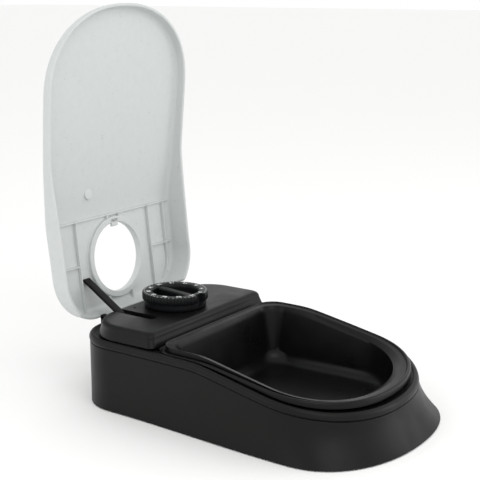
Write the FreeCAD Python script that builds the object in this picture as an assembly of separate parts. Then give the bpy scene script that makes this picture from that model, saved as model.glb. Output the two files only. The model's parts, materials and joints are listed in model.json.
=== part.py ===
"""Automatic pet feeder for one meal: a base with a lift-out bowl, a spring-opened lid and a 48-hour timer.

The feeder is laid out about the front edge of its timer housing, at Y = 0. The bowl is toward -Y, the lid's
hinge toward +Y, and the floor is Z = 0. Each node is shifted at the end, so that the origin is on the floor
in the middle of the feeder's footprint with its lid open. Millimetres and degrees throughout.
"""
import FreeCAD, Part
import math
import os

from FreeCAD import Vector

X_AXIS = Vector(1, 0, 0)
Y_AXIS = Vector(0, 1, 0)
Z_AXIS = Vector(0, 0, 1)

# ------------------------------------------------------------------ driving dimensions
# Plan of the base: upright wall, flared foot and rear end
REAR_HALF_WIDTH = 73.0
REAR_EDGE = 72.0
REAR_CORNER_RADIUS = 34.0
RIM_WIDENING = 3.3
RIM_NOSE_START = -92.0
RIM_NOSE_REACH = 61.0
FOOT_WIDENING = 4.2
FOOT_NOSE_SETBACK = 23.0
FOOT_NOSE_SPREAD = 18.0
NOSE_SQUARENESS = 2.2
FLARE_HEIGHT = 33.0
SKIRT_BOTTOM = 0.8
BASE_WALL = 2.4
BULKHEAD_Y = 1.6

# Heights seen from the side: flat over the timer, falling toward the nose
LEDGE_Z = 51.5
LEDGE_SLOPE = 0.2
LEDGE_BEND = -40.0
LIP_RISE = 0.8
RIM_SLOPE = 0.17
RIM_BEND_SETBACK = 6.0
BEND_RADIUS = 150.0

# Bowl
LIP_MARGIN_REAR = 1.6
LIP_MARGIN_SIDE = 3.7
LIP_MARGIN_NOSE = 5.0
BOWL_REAR_EDGE = -1.0
BOWL_REAR_RADIUS = 14.0
BOWL_FLOOR = 10.0
BOWL_WALL = 2.2
BOWL_DRAFT = 9.0
LIP_WALL = 2.8
LIP_SEAT = 5.0
SHOULDER = 3.0
SEAT_GAP = 0.2
BOWL_GAP = 0.5

# Timer housing
DECK_SIDE_GAP = 0.6
DECK_REAR_MARGIN = 8.0
DECK_CORNER_MARGIN = 3.0
DECK_FRONT_RADIUS = 5.0
DECK_HEIGHT = 10.5
DECK_WALL = 2.4
DECK_DRAFT = 3.1
DECK_EDGE_RADIUS = 4.0
TIMER_OPENING_SIDE_MARGIN = 15.0
TIMER_OPENING_FRONT = 6.0
TIMER_OPENING_REAR_MARGIN = 14.0
TIMER_OPENING_RADIUS = 18.0
DECK_SCREW_INSET = 8.0
DECK_SCREW_FRONT = 9.0
DECK_SCREW_REAR_MARGIN = 30.0
DECK_SCREW_LENGTH = 9.0
SCREW_TIP_GAP = 0.4

# Lid and hinge
HINGE_OVERHANG = 0.3
HINGE_HEIGHT = 2.8
LID_OPEN_ANGLE = 97.0
LID_REAR_OVERHANG = 3.0
LID_CORNER_MARGIN = 2.0
LID_GAP = 0.5
LID_WALL = 2.2
LID_DRAFT = 0.25
PLATE_RISE = 6.5
PLATE_SLOPE = 0.21
PLATE_BEND = 0.0
PLATE_THICKNESS = 2.5
HOLE_GAP = 2.0
HOLE_BOSS_WALL = 4.5
HOLE_BOSS_HEIGHT = 3.0
INNER_RIB_GAP = 5.4
OUTER_RIB_INSET = 12.8
RIB_THICKNESS = 1.6
RIB_HEIGHT = 3.5
HINGE_RELIEF = 3.7
BARREL_RADIUS = 2.5
PIN_RADIUS = 1.2
HINGE_SPOT = 30.0
BARREL_LENGTH = 8.0
EAR_THICKNESS = 3.0
EAR_REAR_TRIM = 0.4
SIDE_GAP = 0.3
TAB_WIDTH = 7.0
TAB_THICKNESS = 2.0
TAB_GAP = 0.4

# Dial and its arbor
DIAL_Y = 33.6
DIAL_RADIUS = 24.4
DIAL_RISE = 11.2
DIAL_LIFT = 0.3
BAND_HEIGHT = 5.8
COLLAR_INSET = 1.4
RECESS_INSET = 7.4
RECESS_DEPTH = 7.2
UNDERCUT_WALL = 2.4
UNDERCUT_DEPTH = 1.6
GRIP_WIDTH = 6.0
GRIP_DROP = 0.8
GRIP_ANGLE = 80.0
FLUTES = 40
FLUTE_RADIUS = 0.5
NOTCH_DEPTH = 3.5
NOTCH_SIDE_GAP = 0.6
NOTCH_UNDER_GAP = 0.8
ARBOR_RADIUS = 2.5
ARBOR_BORE_GAP = 0.5
ARBOR_END_GAP = 0.5
ARBOR_SOCKET = 3.0
FLANGE_THICKNESS = 1.2
WASHER_THICKNESS = 0.8
RUNNING_GAP = 0.15

# Lift arm
ARM_DIAL_GAP = 11.6
ARM_WIDTH = 6.5
ARM_THICKNESS = 2.2
ARM_LENGTH = 44.0
ARM_PIVOT_SETBACK = 21.3
ARM_PIVOT_DEPTH = 5.0
ARM_HUB_RADIUS = 2.5
ARM_TIP_GAP = 0.3
SLOT_MARGIN = 0.75
SLOT_END_GAP = 1.0
SLOT_SILL = 0.8
SPRING_LENGTH = 5.0
SPRING_WIRE = 0.8
SPRING_RADIUS = 1.9
SPRING_TURNS = 3
BRACKET_THICKNESS = 1.5
BRACKET_REACH = 3.0

# Timer movement, heights down from the top of its case and places from the dial's axis
CASE_LEFT = -26.0
CASE_RIGHT = 40.0
CASE_HALF_DEPTH = 24.0
CASE_HEADROOM = 0.2
CASE_HEIGHT = 18.4
CASE_WALL = 2.0
EAR_DROP = 7.4
EAR_HEIGHT = 2.4
EAR_GAP = 0.1
EAR_RADIUS = 3.2
EAR_SPACING = 4.5
LEFT_EAR_SETBACK = 18.0
CASE_SCREW_LENGTH = 6.0
CASE_SCREW_TIP_GAP = 1.0
DRIVE_MODULE = 0.6
DRIVE_TEETH = 60
PINION_TEETH = 12
TRAIN_MODULE = 0.4
TRAIN_TEETH = 48
PRESSURE_ANGLE = 25.0
DEDENDUM = 1.25
BACKLASH = 0.12
WHEEL_DROP = 6.4
WHEEL_THICKNESS = 2.2
PINION_OVERHANG = 0.4
TRAIN_WHEEL_DROP = 10.0
TRAIN_WHEEL_THICKNESS = 1.8
TRAIN_PINION_OVERHANG = 0.6
TRAIN_HUB_RADIUS = 2.4
TRAIN_ANGLE = -20.0
ROTOR_ANGLE = 50.0
MAGNET_RADIUS = 3.2
MAGNET_DROP = 14.2
MAGNET_HEIGHT = 2.4
ROTOR_STEM_RADIUS = 1.7
PIVOT_RADIUS = 0.7
STATOR_THICKNESS = 1.6
STATOR_RISE = 0.4
STATOR_MARGIN = 2.0
STATOR_AIR_GAP = 0.6
STRIP_HALF = 1.5
COIL_RADIUS = 3.2
COIL_LENGTH = 15.7
COIL_END_GAP = 0.3
COIL_WALL_GAP = 1.5
BOARD_DROP = 15.8
BOARD_THICKNESS = 1.2
BOARD_RIGHT = -5.0
BOARD_SIDE_GAP = 1.0
BOARD_END_GAP = 4.0
CRYSTAL_RADIUS = 1.5
CRYSTAL_LENGTH = 8.0
CRYSTAL_SPOT = (-14.0, -6.0)

# Floor of the base, its feet and the battery
FOOT_HEIGHT = 2.0
FOOT_RADIUS = 6.5
FOOT_SIDE_MARGIN = 15.0
REAR_FOOT_MARGIN = 24.0
FRONT_FOOT_SETBACK = 13.0
FLOOR_THICKNESS = 3.0
FLOOR_GAP = 0.4
SCREW_RADIUS = 1.4
SCREW_HOLE_GAP = 0.2
SCREW_HEAD_RADIUS = 2.7
SCREW_HEAD_GAP = 0.3
SCREW_HEAD_HEIGHT = 1.8
BOTTOM_SCREW_LENGTH = 10.0
POST_RADIUS = 3.6
POST_SINK = 0.6
POST_HEIGHT = 14.0
POST_END_WALL = 2.0
DECK_POST_RADIUS = 3.2
POST_STATIONS = (8, 16, 21)
CELL_RADIUS = 7.1
CELL_LENGTH = 49.2
NUB_RADIUS = 2.7
NUB_LENGTH = 1.0
CELL_GAP = 0.6
BOX_WALL = 1.8
CONTACT_THICKNESS = 0.6
CONTACT_HALF = 5.0
STRIP_HALF_WIDTH = 2.0
STRIP_SLOT_GAP = 0.5
STRIP_RISE = 2.0
CELL_SPRING_LENGTH = 3.6
CELL_SPRING_RADII = (4.2, 3.4, 2.6)
CELL_SPRING_WIRE = 0.65
CELL_SPRING_START = 0.5
CELL_SPRING_PITCH = 1.0
COVER_MARGIN = 2.4
COVER_THICKNESS = 1.6
COVER_GAP = 0.3
TRACK_HEADROOM = 0.2
COVER_TRAVEL = 12.0
LEAD_RADIUS = 0.6
LEAD_BEND = 4.0
LEAD_DROP = 8.0
LEAD_SPOTS = ((-10.0, -9.0), (-14.0, 9.0))

# ------------------------------------------------------------------ sizes that follow
FAR_SIDE = 200.0
FAR_FRONT = -300.0
FAR_REAR = 200.0
FAR_UP = 200.0
FAR_DOWN = -10.0
OVERLAP = 1.0

RIM_HALF_WIDTH = REAR_HALF_WIDTH + RIM_WIDENING
FOOT_HALF_WIDTH = RIM_HALF_WIDTH + FOOT_WIDENING
FOOT_NOSE_START = RIM_NOSE_START - FOOT_NOSE_SETBACK
FOOT_NOSE_REACH = RIM_NOSE_REACH + FOOT_NOSE_SPREAD - FOOT_NOSE_SETBACK
RIM_Z = LEDGE_Z + LIP_RISE
RIM_BEND = LEDGE_BEND - RIM_BEND_SETBACK

BOWL_HALF_WIDTH = REAR_HALF_WIDTH - LIP_MARGIN_REAR
BOWL_NOSE_HALF_WIDTH = RIM_HALF_WIDTH - LIP_MARGIN_SIDE
BOWL_NOSE_REACH = RIM_NOSE_REACH - LIP_MARGIN_NOSE

DECK_HALF_WIDTH = REAR_HALF_WIDTH - LID_WALL - DECK_SIDE_GAP
DECK_REAR_EDGE = REAR_EDGE - DECK_REAR_MARGIN
DECK_REAR_RADIUS = REAR_CORNER_RADIUS - DECK_CORNER_MARGIN
DECK_Z = LEDGE_Z + DECK_HEIGHT
DECK_BOTTOM = LEDGE_Z + SEAT_GAP
TIMER_OPENING_HALF = REAR_HALF_WIDTH - TIMER_OPENING_SIDE_MARGIN
TIMER_OPENING_REAR = REAR_EDGE - TIMER_OPENING_REAR_MARGIN

HINGE_Y = REAR_EDGE + HINGE_OVERHANG
HINGE_Z = LEDGE_Z + HINGE_HEIGHT
LID_REAR_EDGE = REAR_EDGE + LID_REAR_OVERHANG
LID_REAR_RADIUS = REAR_CORNER_RADIUS + LID_CORNER_MARGIN
PLATE_Z = DECK_Z + PLATE_RISE

DIAL_TOP = DECK_Z + DIAL_RISE
BAND_BOTTOM = DIAL_TOP - BAND_HEIGHT
RECESS_BOTTOM = DIAL_TOP - RECESS_DEPTH
COLLAR_RADIUS = DIAL_RADIUS - COLLAR_INSET
RECESS_RADIUS = DIAL_RADIUS - RECESS_INSET
NOTCH_FLOOR_RADIUS = DIAL_RADIUS - NOTCH_DEPTH
HOLE_RADIUS = DIAL_RADIUS + HOLE_GAP

ARM_X = -(DIAL_RADIUS + ARM_DIAL_GAP)
ARM_PIVOT_Y = HINGE_Y - ARM_PIVOT_SETBACK
ARM_PIVOT_Z = DECK_Z - ARM_PIVOT_DEPTH
RIB_SPOTS = (INNER_RIB_GAP - ARM_X, REAR_HALF_WIDTH - OUTER_RIB_INSET)

CASE_TOP = DECK_Z - DECK_WALL - CASE_HEADROOM
CASE_BOTTOM = CASE_TOP - CASE_HEIGHT
TOP_OF_CASE_INSIDE = CASE_TOP - CASE_WALL
EAR_Z = CASE_TOP - EAR_DROP
WHEEL_Z = CASE_TOP - WHEEL_DROP
TRAIN_WHEEL_Z = CASE_TOP - TRAIN_WHEEL_DROP
MAGNET_Z = CASE_TOP - MAGNET_DROP
STATOR_Z = MAGNET_Z + STATOR_RISE
BOARD_Z = CASE_TOP - BOARD_DROP
TRAIN_DISTANCE = DRIVE_MODULE * (DRIVE_TEETH + PINION_TEETH) / 2
ROTOR_DISTANCE = TRAIN_MODULE * (TRAIN_TEETH + PINION_TEETH) / 2
HALF_PITCH = 180.0 / PINION_TEETH

FLOOR_TOP = FOOT_HEIGHT + FLOOR_THICKNESS
FOOT_X = REAR_HALF_WIDTH - FOOT_SIDE_MARGIN
FOOT_SPOTS = ((FOOT_X, REAR_EDGE - REAR_FOOT_MARGIN), (FOOT_X, RIM_NOSE_START - FRONT_FOOT_SETBACK))
CELL_Z = FLOOR_TOP + CELL_RADIUS + CELL_GAP / 2
BOX_TOP = CELL_Z + CELL_RADIUS + CELL_GAP
STRIP_TOP = BOX_TOP + BOX_WALL + STRIP_RISE
LEAD_LEVEL = CASE_BOTTOM - LEAD_DROP
LEAD_ENDS = tuple((x, DIAL_Y + y) for x, y in LEAD_SPOTS)


# ------------------------------------------------------------------ shape helpers
def box(x_range, y_range, z_range):
    """Solid box from its three (low, high) ranges."""
    (x0, x1), (y0, y1), (z0, z1) = x_range, y_range, z_range
    return Part.makeBox(x1 - x0, y1 - y0, z1 - z0, Vector(x0, y0, z0))


def cylinder(radius, start, length, axis=Z_AXIS):
    """Solid cylinder from the centre of one end, along an axis."""
    return Part.makeCylinder(radius, length, Vector(*start), axis)


def join(shapes):
    """One solid from several that touch or overlap."""
    return shapes[0].fuse(shapes[1:])


def trim(shape, cutters):
    """The shape less all the cutters."""
    return shape.cut(cutters)


def mirrored(shapes):
    """The shapes together with their mirror images across the feeder's middle."""
    return shapes + [shape.mirror(Vector(0, 0, 0), X_AXIS) for shape in shapes]


def plan(half_width, nose_half, nose_start, nose_reach, rear_edge, rear_radius):
    """Points of a closed plan outline: rear edge, round rear corner, side, and a nose like half an oval."""
    half = []
    straight = half_width - rear_radius
    for step in range(4):
        half.append((straight * step / 4, rear_edge))
    for step in range(8):
        angle = math.radians(90 - 90 * step / 8)
        drop = rear_radius * (1 - math.sin(angle))
        half.append((straight + rear_radius * math.cos(angle), rear_edge - drop))
    side_start = rear_edge - rear_radius
    for step in range(8):
        share = step / 8
        ease = share * share * (3 - 2 * share)
        along = side_start + (nose_start - side_start) * share
        half.append((half_width + (nose_half - half_width) * ease, along))
    power = 2 / NOSE_SQUARENESS
    for step in range(17):
        angle = math.pi / 2 * step / 16
        across = max(math.cos(angle), 0.0) ** power
        half.append((nose_half * across, nose_start - nose_reach * math.sin(angle) ** power))
    return half + [(-x, y) for x, y in reversed(half[1:-1])]


def inset(points, distance):
    """The closed outline moved inward. The distance is a function of Y."""
    moved = []
    for index, (x, y) in enumerate(points):
        before = points[index - 1]
        after = points[(index + 1) % len(points)]
        run, rise = after[0] - before[0], after[1] - before[1]
        length = math.hypot(run, rise)
        step = distance(y)
        moved.append((x + step * rise / length, y - step * run / length))
    return moved


def by(distance):
    """An inset distance that is the same all round."""
    return lambda y: distance


def outline(points, z):
    """Closed smooth wire through plan points at one height."""
    curve = Part.BSplineCurve()
    curve.interpolate(Points=[Vector(x, y, z) for x, y in points], PeriodicFlag=True)
    return Part.Wire(curve.toShape())


def prism(points, z_low, z_high):
    """Upright solid on a plan outline."""
    return Part.Face(outline(points, z_low)).extrude(Z_AXIS * (z_high - z_low))


def level(y, flat, slope, bend):
    """Height at Y of a line that is flat behind the bend and falls in front of it."""
    return flat + slope * min(y - bend, 0.0)


def side_region(flat, slope, bend, far_z):
    """Solid over the whole plan, between a flat line with one round bend to a falling line, and far_z."""
    angle = math.atan(slope)
    start = bend + BEND_RADIUS * math.tan(angle / 2)
    turn = [Vector(-FAR_SIDE, start - BEND_RADIUS * math.sin(part * angle),
                   flat - BEND_RADIUS * (1 - math.cos(part * angle))) for part in (0, 0.5, 1)]
    rear = Vector(-FAR_SIDE, FAR_REAR, flat)
    front = Vector(-FAR_SIDE, FAR_FRONT, level(FAR_FRONT, flat, slope, bend))
    corners = [front, Vector(-FAR_SIDE, FAR_FRONT, far_z), Vector(-FAR_SIDE, FAR_REAR, far_z), rear]
    edges = [Part.LineSegment(rear, turn[0]).toShape(), Part.Arc(*turn).toShape()]
    edges.append(Part.LineSegment(turn[2], front).toShape())
    edges += [Part.LineSegment(a, b).toShape() for a, b in zip(corners[:-1], corners[1:])]
    return Part.Face(Part.Wire(edges)).extrude(X_AXIS * (2 * FAR_SIDE))


def gear(module, teeth, z, thickness, bore, first_tooth):
    """Spur gear with involute flanks. first_tooth is the angle of one tooth's middle, in degrees."""
    pitch_radius = module * teeth / 2
    base_radius = pitch_radius * math.cos(math.radians(PRESSURE_ANGLE))
    half_at_pitch = math.pi / (2 * teeth) - BACKLASH / (2 * pitch_radius)
    widest = half_at_pitch + math.tan(math.radians(PRESSURE_ANGLE)) - math.radians(PRESSURE_ANGLE)
    tip = pitch_radius + module
    root = pitch_radius - DEDENDUM * module
    low = max(base_radius, root)
    flank = [(root, widest)] if low == base_radius else []
    for step in range(4):
        radius = low + (tip - low) * step / 3
        roll = math.acos(min(base_radius / radius, 1.0))
        flank.append((radius, widest - math.tan(roll) + roll))
    points = []
    for tooth in range(teeth):
        middle = math.radians(first_tooth) + 2 * math.pi * tooth / teeth
        around = [(r, middle - half) for r, half in flank]
        around += [(r, middle + half) for r, half in reversed(flank)]
        points += [Vector(r * math.cos(a), r * math.sin(a), z) for r, a in around]
    disc = Part.Face(Part.makePolygon(points + points[:1])).extrude(Z_AXIS * thickness)
    return disc.cut(cylinder(bore, (0, 0, z), thickness))


def bent_wire(points, radius, bend):
    """Round wire along straight runs joined by tangent arcs."""
    edges = []
    start = points[0]
    for before, corner, after in zip(points[:-2], points[1:-1], points[2:]):
        inward = (before - corner).normalize()
        outward = (after - corner).normalize()
        half_turn = (math.pi - inward.getAngle(outward)) / 2
        setback = bend * math.tan(half_turn)
        first, last = corner + inward * setback, corner + outward * setback
        middle = corner + (inward + outward).normalize() * bend * (1 / math.cos(half_turn) - 1)
        edges += [Part.LineSegment(start, first).toShape(), Part.Arc(first, middle, last).toShape()]
        start = last
    edges.append(Part.LineSegment(start, points[-1]).toShape())
    section = Part.Wire(Part.makeCircle(radius, points[0], points[1] - points[0]))
    return Part.Wire(edges).makePipeShell([section], True, False)


def screw(x, y, head_z, length):
    """Screw driven upward: its head is below head_z and its shank above it."""
    head = cylinder(SCREW_HEAD_RADIUS, (x, y, head_z - SCREW_HEAD_HEIGHT), SCREW_HEAD_HEIGHT)
    return head.fuse(cylinder(SCREW_RADIUS, (x, y, head_z), length))


# ------------------------------------------------------------------ outlines shared by the mating pieces
RIM_PLAN = plan(REAR_HALF_WIDTH, RIM_HALF_WIDTH, RIM_NOSE_START, RIM_NOSE_REACH, REAR_EDGE,
                REAR_CORNER_RADIUS)
FOOT_PLAN = plan(REAR_HALF_WIDTH, FOOT_HALF_WIDTH, FOOT_NOSE_START, FOOT_NOSE_REACH, REAR_EDGE,
                 REAR_CORNER_RADIUS)
LID_PLAN = plan(REAR_HALF_WIDTH, RIM_HALF_WIDTH, RIM_NOSE_START, RIM_NOSE_REACH, LID_REAR_EDGE,
                LID_REAR_RADIUS)


def base_plan(z):
    """Plan of the base at one height: the foot's outline blended into the upright wall's."""
    flare = (1 - z / FLARE_HEIGHT) ** 2
    return [(a[0] + (b[0] - a[0]) * flare, a[1] + (b[1] - a[1]) * flare) for a, b in zip(RIM_PLAN, FOOT_PLAN)]


POST_LINE = inset(base_plan(FLOOR_TOP + POST_HEIGHT), by(BASE_WALL + POST_RADIUS - POST_SINK))
POST_SPOTS = [POST_LINE[station] for station in POST_STATIONS]
DECK_SCREW_X = DECK_HALF_WIDTH - DECK_SCREW_INSET
DECK_SCREW_SPOTS = ((DECK_SCREW_X, DECK_SCREW_FRONT), (DECK_SCREW_X, REAR_EDGE - DECK_SCREW_REAR_MARGIN))
CASE_SCREW_SPOTS = ((CASE_LEFT - EAR_SPACING, DIAL_Y - LEFT_EAR_SETBACK), (CASE_RIGHT + EAR_SPACING, DIAL_Y))


def bowl_plan(distance):
    """Plan of the bowl's lip moved inward, with the same round rear corners at every distance."""
    return plan(BOWL_HALF_WIDTH - distance, BOWL_NOSE_HALF_WIDTH - distance, RIM_NOSE_START,
                BOWL_NOSE_REACH - distance, BOWL_REAR_EDGE - distance, BOWL_REAR_RADIUS)


def base_body(wall):
    """Solid inside the base's outline: a foot that flares toward the nose, then an upright wall."""
    heights = [SKIRT_BOTTOM + (FLARE_HEIGHT - SKIRT_BOTTOM) * step / 5 for step in range(6)]
    foot = Part.makeLoft([outline(inset(base_plan(z), by(wall)), z) for z in heights], True, False)
    return foot.fuse(prism(inset(RIM_PLAN, by(wall)), FLARE_HEIGHT, LEDGE_Z + OVERLAP))


def below_ledge(drop):
    """Everything lower than the ledge that the lid's skirt meets, less a drop."""
    return side_region(LEDGE_Z - drop, LEDGE_SLOPE, LEDGE_BEND, FAR_DOWN)


def hinge_ear(x):
    """Ear on the rear ledge that holds one end of a hinge pin."""
    post = box((x, x + EAR_THICKNESS), (HINGE_Y - BARREL_RADIUS, HINGE_Y + BARREL_RADIUS - EAR_REAR_TRIM),
               (LEDGE_Z - BASE_WALL, HINGE_Z))
    return post.fuse(cylinder(BARREL_RADIUS, (x, HINGE_Y, HINGE_Z), EAR_THICKNESS, X_AXIS))


# ------------------------------------------------------------------ base
def base_shell():
    """Skirt and ledge in one moulding, with the bowl's opening, the timer's opening and the hinge ears."""
    outside = base_body(0.0).common(below_ledge(0.0))
    inside = base_body(BASE_WALL).common(below_ledge(BASE_WALL))
    bulkhead = box((-FAR_SIDE, FAR_SIDE), (BULKHEAD_Y, BULKHEAD_Y + BASE_WALL),
                   (FLOOR_TOP + FLOOR_GAP, LEDGE_Z))
    posts = mirrored([cylinder(POST_RADIUS, (x, y, FLOOR_TOP), POST_HEIGHT) for x, y in POST_SPOTS])
    shell = outside.cut(inside).fuse([piece.common(outside) for piece in [bulkhead] + posts])
    bowl_opening = prism(bowl_plan(LIP_SEAT), 0.0, LEDGE_Z + OVERLAP)
    timer_opening = box((-TIMER_OPENING_HALF, TIMER_OPENING_HALF), (TIMER_OPENING_FRONT, TIMER_OPENING_REAR),
                        (LEDGE_Z - 2 * BASE_WALL, LEDGE_Z + OVERLAP))
    upright = [edge for edge in timer_opening.Edges if abs(edge.tangentAt(edge.FirstParameter).z) > 0.9]
    timer_opening = timer_opening.makeFillet(TIMER_OPENING_RADIUS, upright)
    depth = POST_HEIGHT - POST_END_WALL
    holes = mirrored([cylinder(SCREW_RADIUS, (x, y, FLOOR_TOP), depth) for x, y in POST_SPOTS])
    through = LEDGE_Z - 2 * BASE_WALL
    holes += mirrored([cylinder(SCREW_RADIUS, (x, y, through), 4 * BASE_WALL) for x, y in DECK_SCREW_SPOTS])
    shell = trim(shell, [bowl_opening, timer_opening] + holes)
    reach = BARREL_LENGTH / 2 + SIDE_GAP
    ears = mirrored([hinge_ear(HINGE_SPOT + reach), hinge_ear(HINGE_SPOT - reach - EAR_THICKNESS)])
    pin_bore = cylinder(PIN_RADIUS, (-FAR_SIDE, HINGE_Y, HINGE_Z), 2 * FAR_SIDE, X_AXIS)
    return shell.fuse(ears).cut(pin_bore)


def battery_inside():
    """Length and depth ranges of the space for the cell and its contacts."""
    half = CELL_LENGTH / 2
    x_range = (-half - CELL_SPRING_LENGTH - CONTACT_THICKNESS, half + NUB_LENGTH + CONTACT_THICKNESS)
    return x_range, (DIAL_Y - CELL_RADIUS - CELL_GAP, DIAL_Y + CELL_RADIUS + CELL_GAP)


def cover_ranges(margin):
    """Length and depth ranges of the battery cover, grown by a margin."""
    (x0, x1), (y0, y1) = battery_inside()
    grow = COVER_MARGIN + margin
    return (x0 - grow, x1 + grow), (y0 - grow, y1 + grow)


def bottom_plate():
    """Floor of the base, with the battery box standing on it and the battery cover's track beneath."""
    plate = prism(inset(base_plan(FLOOR_TOP), by(BASE_WALL + FLOOR_GAP)), FOOT_HEIGHT, FLOOR_TOP)
    (x0, x1), (y0, y1) = battery_inside()
    walls = box((x0 - BOX_WALL, x1 + BOX_WALL), (y0 - BOX_WALL, y1 + BOX_WALL),
                (FOOT_HEIGHT, BOX_TOP + BOX_WALL))
    space = box((x0, x1), (y0, y1), (FOOT_HEIGHT, BOX_TOP))
    track_x, track_y = cover_ranges(COVER_GAP)
    track_top = FOOT_HEIGHT + COVER_THICKNESS + TRACK_HEADROOM
    track = box(track_x, (track_y[0], track_y[1] + COVER_TRAVEL), (0.0, track_top))
    cutters = [space, track]
    half_slot = STRIP_HALF_WIDTH + STRIP_SLOT_GAP
    for x in (x0, x1 - CONTACT_THICKNESS):
        cutters.append(box((x, x + CONTACT_THICKNESS), (DIAL_Y - half_slot, DIAL_Y + half_slot),
                           (BOX_TOP - OVERLAP, STRIP_TOP)))
    for x, y in POST_SPOTS:
        hole = cylinder(SCREW_RADIUS + SCREW_HOLE_GAP, (x, y, 0.0), FLOOR_TOP)
        sink = cylinder(SCREW_HEAD_RADIUS + SCREW_HEAD_GAP, (x, y, 0.0), FOOT_HEIGHT + SCREW_HEAD_HEIGHT)
        cutters += mirrored([hole, sink])
    return trim(plate.fuse(walls), cutters)


def rubber_feet():
    """Four pads under the floor."""
    return mirrored([cylinder(FOOT_RADIUS, (x, y, 0.0), FOOT_HEIGHT) for x, y in FOOT_SPOTS])


def bottom_screws():
    """Screws up through the floor into the base's posts."""
    head_z = FOOT_HEIGHT + SCREW_HEAD_HEIGHT
    return mirrored([screw(x, y, head_z, BOTTOM_SCREW_LENGTH) for x, y in POST_SPOTS])


# ------------------------------------------------------------------ bowl
def bowl():
    """Lift-out food bowl: a drafted body, a shoulder on the base's ledge and an upstanding lip."""
    lip = prism(bowl_plan(0.0), 0.0, RIM_Z + OVERLAP)
    lip = lip.common(side_region(RIM_Z, RIM_SLOPE, RIM_BEND, FAR_DOWN))
    lip = lip.common(side_region(LEDGE_Z + SEAT_GAP, LEDGE_SLOPE, LEDGE_BEND, FAR_UP))
    under_shoulder = side_region(LEDGE_Z + SHOULDER, LEDGE_SLOPE, LEDGE_BEND, FAR_DOWN)
    over_shoulder = side_region(LEDGE_Z + SHOULDER, LEDGE_SLOPE, LEDGE_BEND, FAR_UP)
    top = LEDGE_Z + SHOULDER + OVERLAP

    def drafted(wall, z_low):
        wide = LIP_SEAT + BOWL_GAP + wall
        narrow = wide + BOWL_DRAFT * (top - z_low) / (top - BOWL_FLOOR)
        wires = [outline(bowl_plan(narrow), z_low), outline(bowl_plan(wide), top)]
        return Part.makeLoft(wires, True, True)

    body = drafted(0.0, BOWL_FLOOR).common(under_shoulder)
    mouth = prism(bowl_plan(LIP_WALL), 0.0, FAR_UP).common(over_shoulder)
    return trim(lip.fuse(body), [mouth, drafted(BOWL_WALL, BOWL_FLOOR + BOWL_WALL)])


# ------------------------------------------------------------------ timer housing
def deck_outline(distance, z):
    """Wire of the timer housing's plan, moved inward by a distance, at one height."""
    half = DECK_HALF_WIDTH - distance
    front, rear = distance, DECK_REAR_EDGE - distance
    small, large = DECK_FRONT_RADIUS, DECK_REAR_RADIUS - distance
    edges = []
    path = [(-half + small, front), (half - small, front), (half, front + small), (half, rear - large),
            (half - large, rear), (-half + large, rear), (-half, rear - large), (-half, front + small)]
    centres = {1: (half - small, front + small, small, -45), 3: (half - large, rear - large, large, 45),
               5: (-half + large, rear - large, large, 135), 7: (-half + small, front + small, small, 225)}
    for index, start in enumerate(path):
        end = path[(index + 1) % len(path)]
        first, last = Vector(*start, z), Vector(*end, z)
        if index in centres:
            x, y, radius, middle = centres[index]
            turn = math.radians(middle)
            halfway = Vector(x + radius * math.cos(turn), y + radius * math.sin(turn), z)
            edges.append(Part.Arc(first, halfway, last).toShape())
        else:
            edges.append(Part.LineSegment(first, last).toShape())
    return Part.Wire(edges)


def deck_body(wall, z_top):
    """Solid inside the timer housing's drafted walls."""
    low = deck_outline(wall, DECK_BOTTOM)
    draft = DECK_DRAFT * (z_top - DECK_BOTTOM) / (DECK_Z - DECK_BOTTOM)
    return Part.makeLoft([low, deck_outline(wall + draft, z_top)], True, True)


def deck_cover():
    """Cover over the timer, with the arbor's bore, the lift arm's slot and posts for what hangs from it."""
    outside = deck_body(0.0, DECK_Z)
    top_edges = [edge for edge in outside.Edges if edge.BoundBox.ZMin > DECK_Z - OVERLAP]
    outside = outside.makeFillet(DECK_EDGE_RADIUS, top_edges)
    inside = deck_body(DECK_WALL, DECK_Z - DECK_WALL)
    shell = outside.cut(inside)
    post_top = DECK_Z - DECK_WALL / 2
    posts = mirrored([cylinder(DECK_POST_RADIUS, (x, y, DECK_BOTTOM), post_top - DECK_BOTTOM)
                      for x, y in DECK_SCREW_SPOTS])
    posts += [cylinder(EAR_RADIUS, (x, y, EAR_Z + EAR_HEIGHT), post_top - EAR_Z - EAR_HEIGHT)
              for x, y in CASE_SCREW_SPOTS]
    for x0, x1 in bracket_ranges():
        posts.append(box((x0, x1), (ARM_PIVOT_Y - BRACKET_REACH, ARM_PIVOT_Y + BRACKET_REACH),
                         (ARM_PIVOT_Z - BRACKET_REACH, post_top)))
    shell = shell.fuse(posts)
    half_slot = ARM_WIDTH / 2 + SLOT_MARGIN
    slot = box((ARM_X - half_slot, ARM_X + half_slot), (slot_front(), FAR_REAR),
               (ARM_PIVOT_Z + SLOT_SILL, FAR_UP))
    bores = [cylinder(ARBOR_RADIUS + ARBOR_BORE_GAP, (0, DIAL_Y, DECK_BOTTOM), FAR_UP)]
    deck_screw_end = LEDGE_Z - BASE_WALL + DECK_SCREW_LENGTH + SCREW_TIP_GAP
    bores += mirrored([cylinder(SCREW_RADIUS, (x, y, 0.0), deck_screw_end) for x, y in DECK_SCREW_SPOTS])
    case_screw_end = EAR_Z + CASE_SCREW_LENGTH + CASE_SCREW_TIP_GAP
    bores += [cylinder(SCREW_RADIUS, (x, y, 0.0), case_screw_end) for x, y in CASE_SCREW_SPOTS]
    bores.append(cylinder(PIN_RADIUS, (-FAR_SIDE / 2, ARM_PIVOT_Y, ARM_PIVOT_Z), FAR_SIDE / 2, X_AXIS))
    return trim(shell, [slot] + bores)


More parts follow.
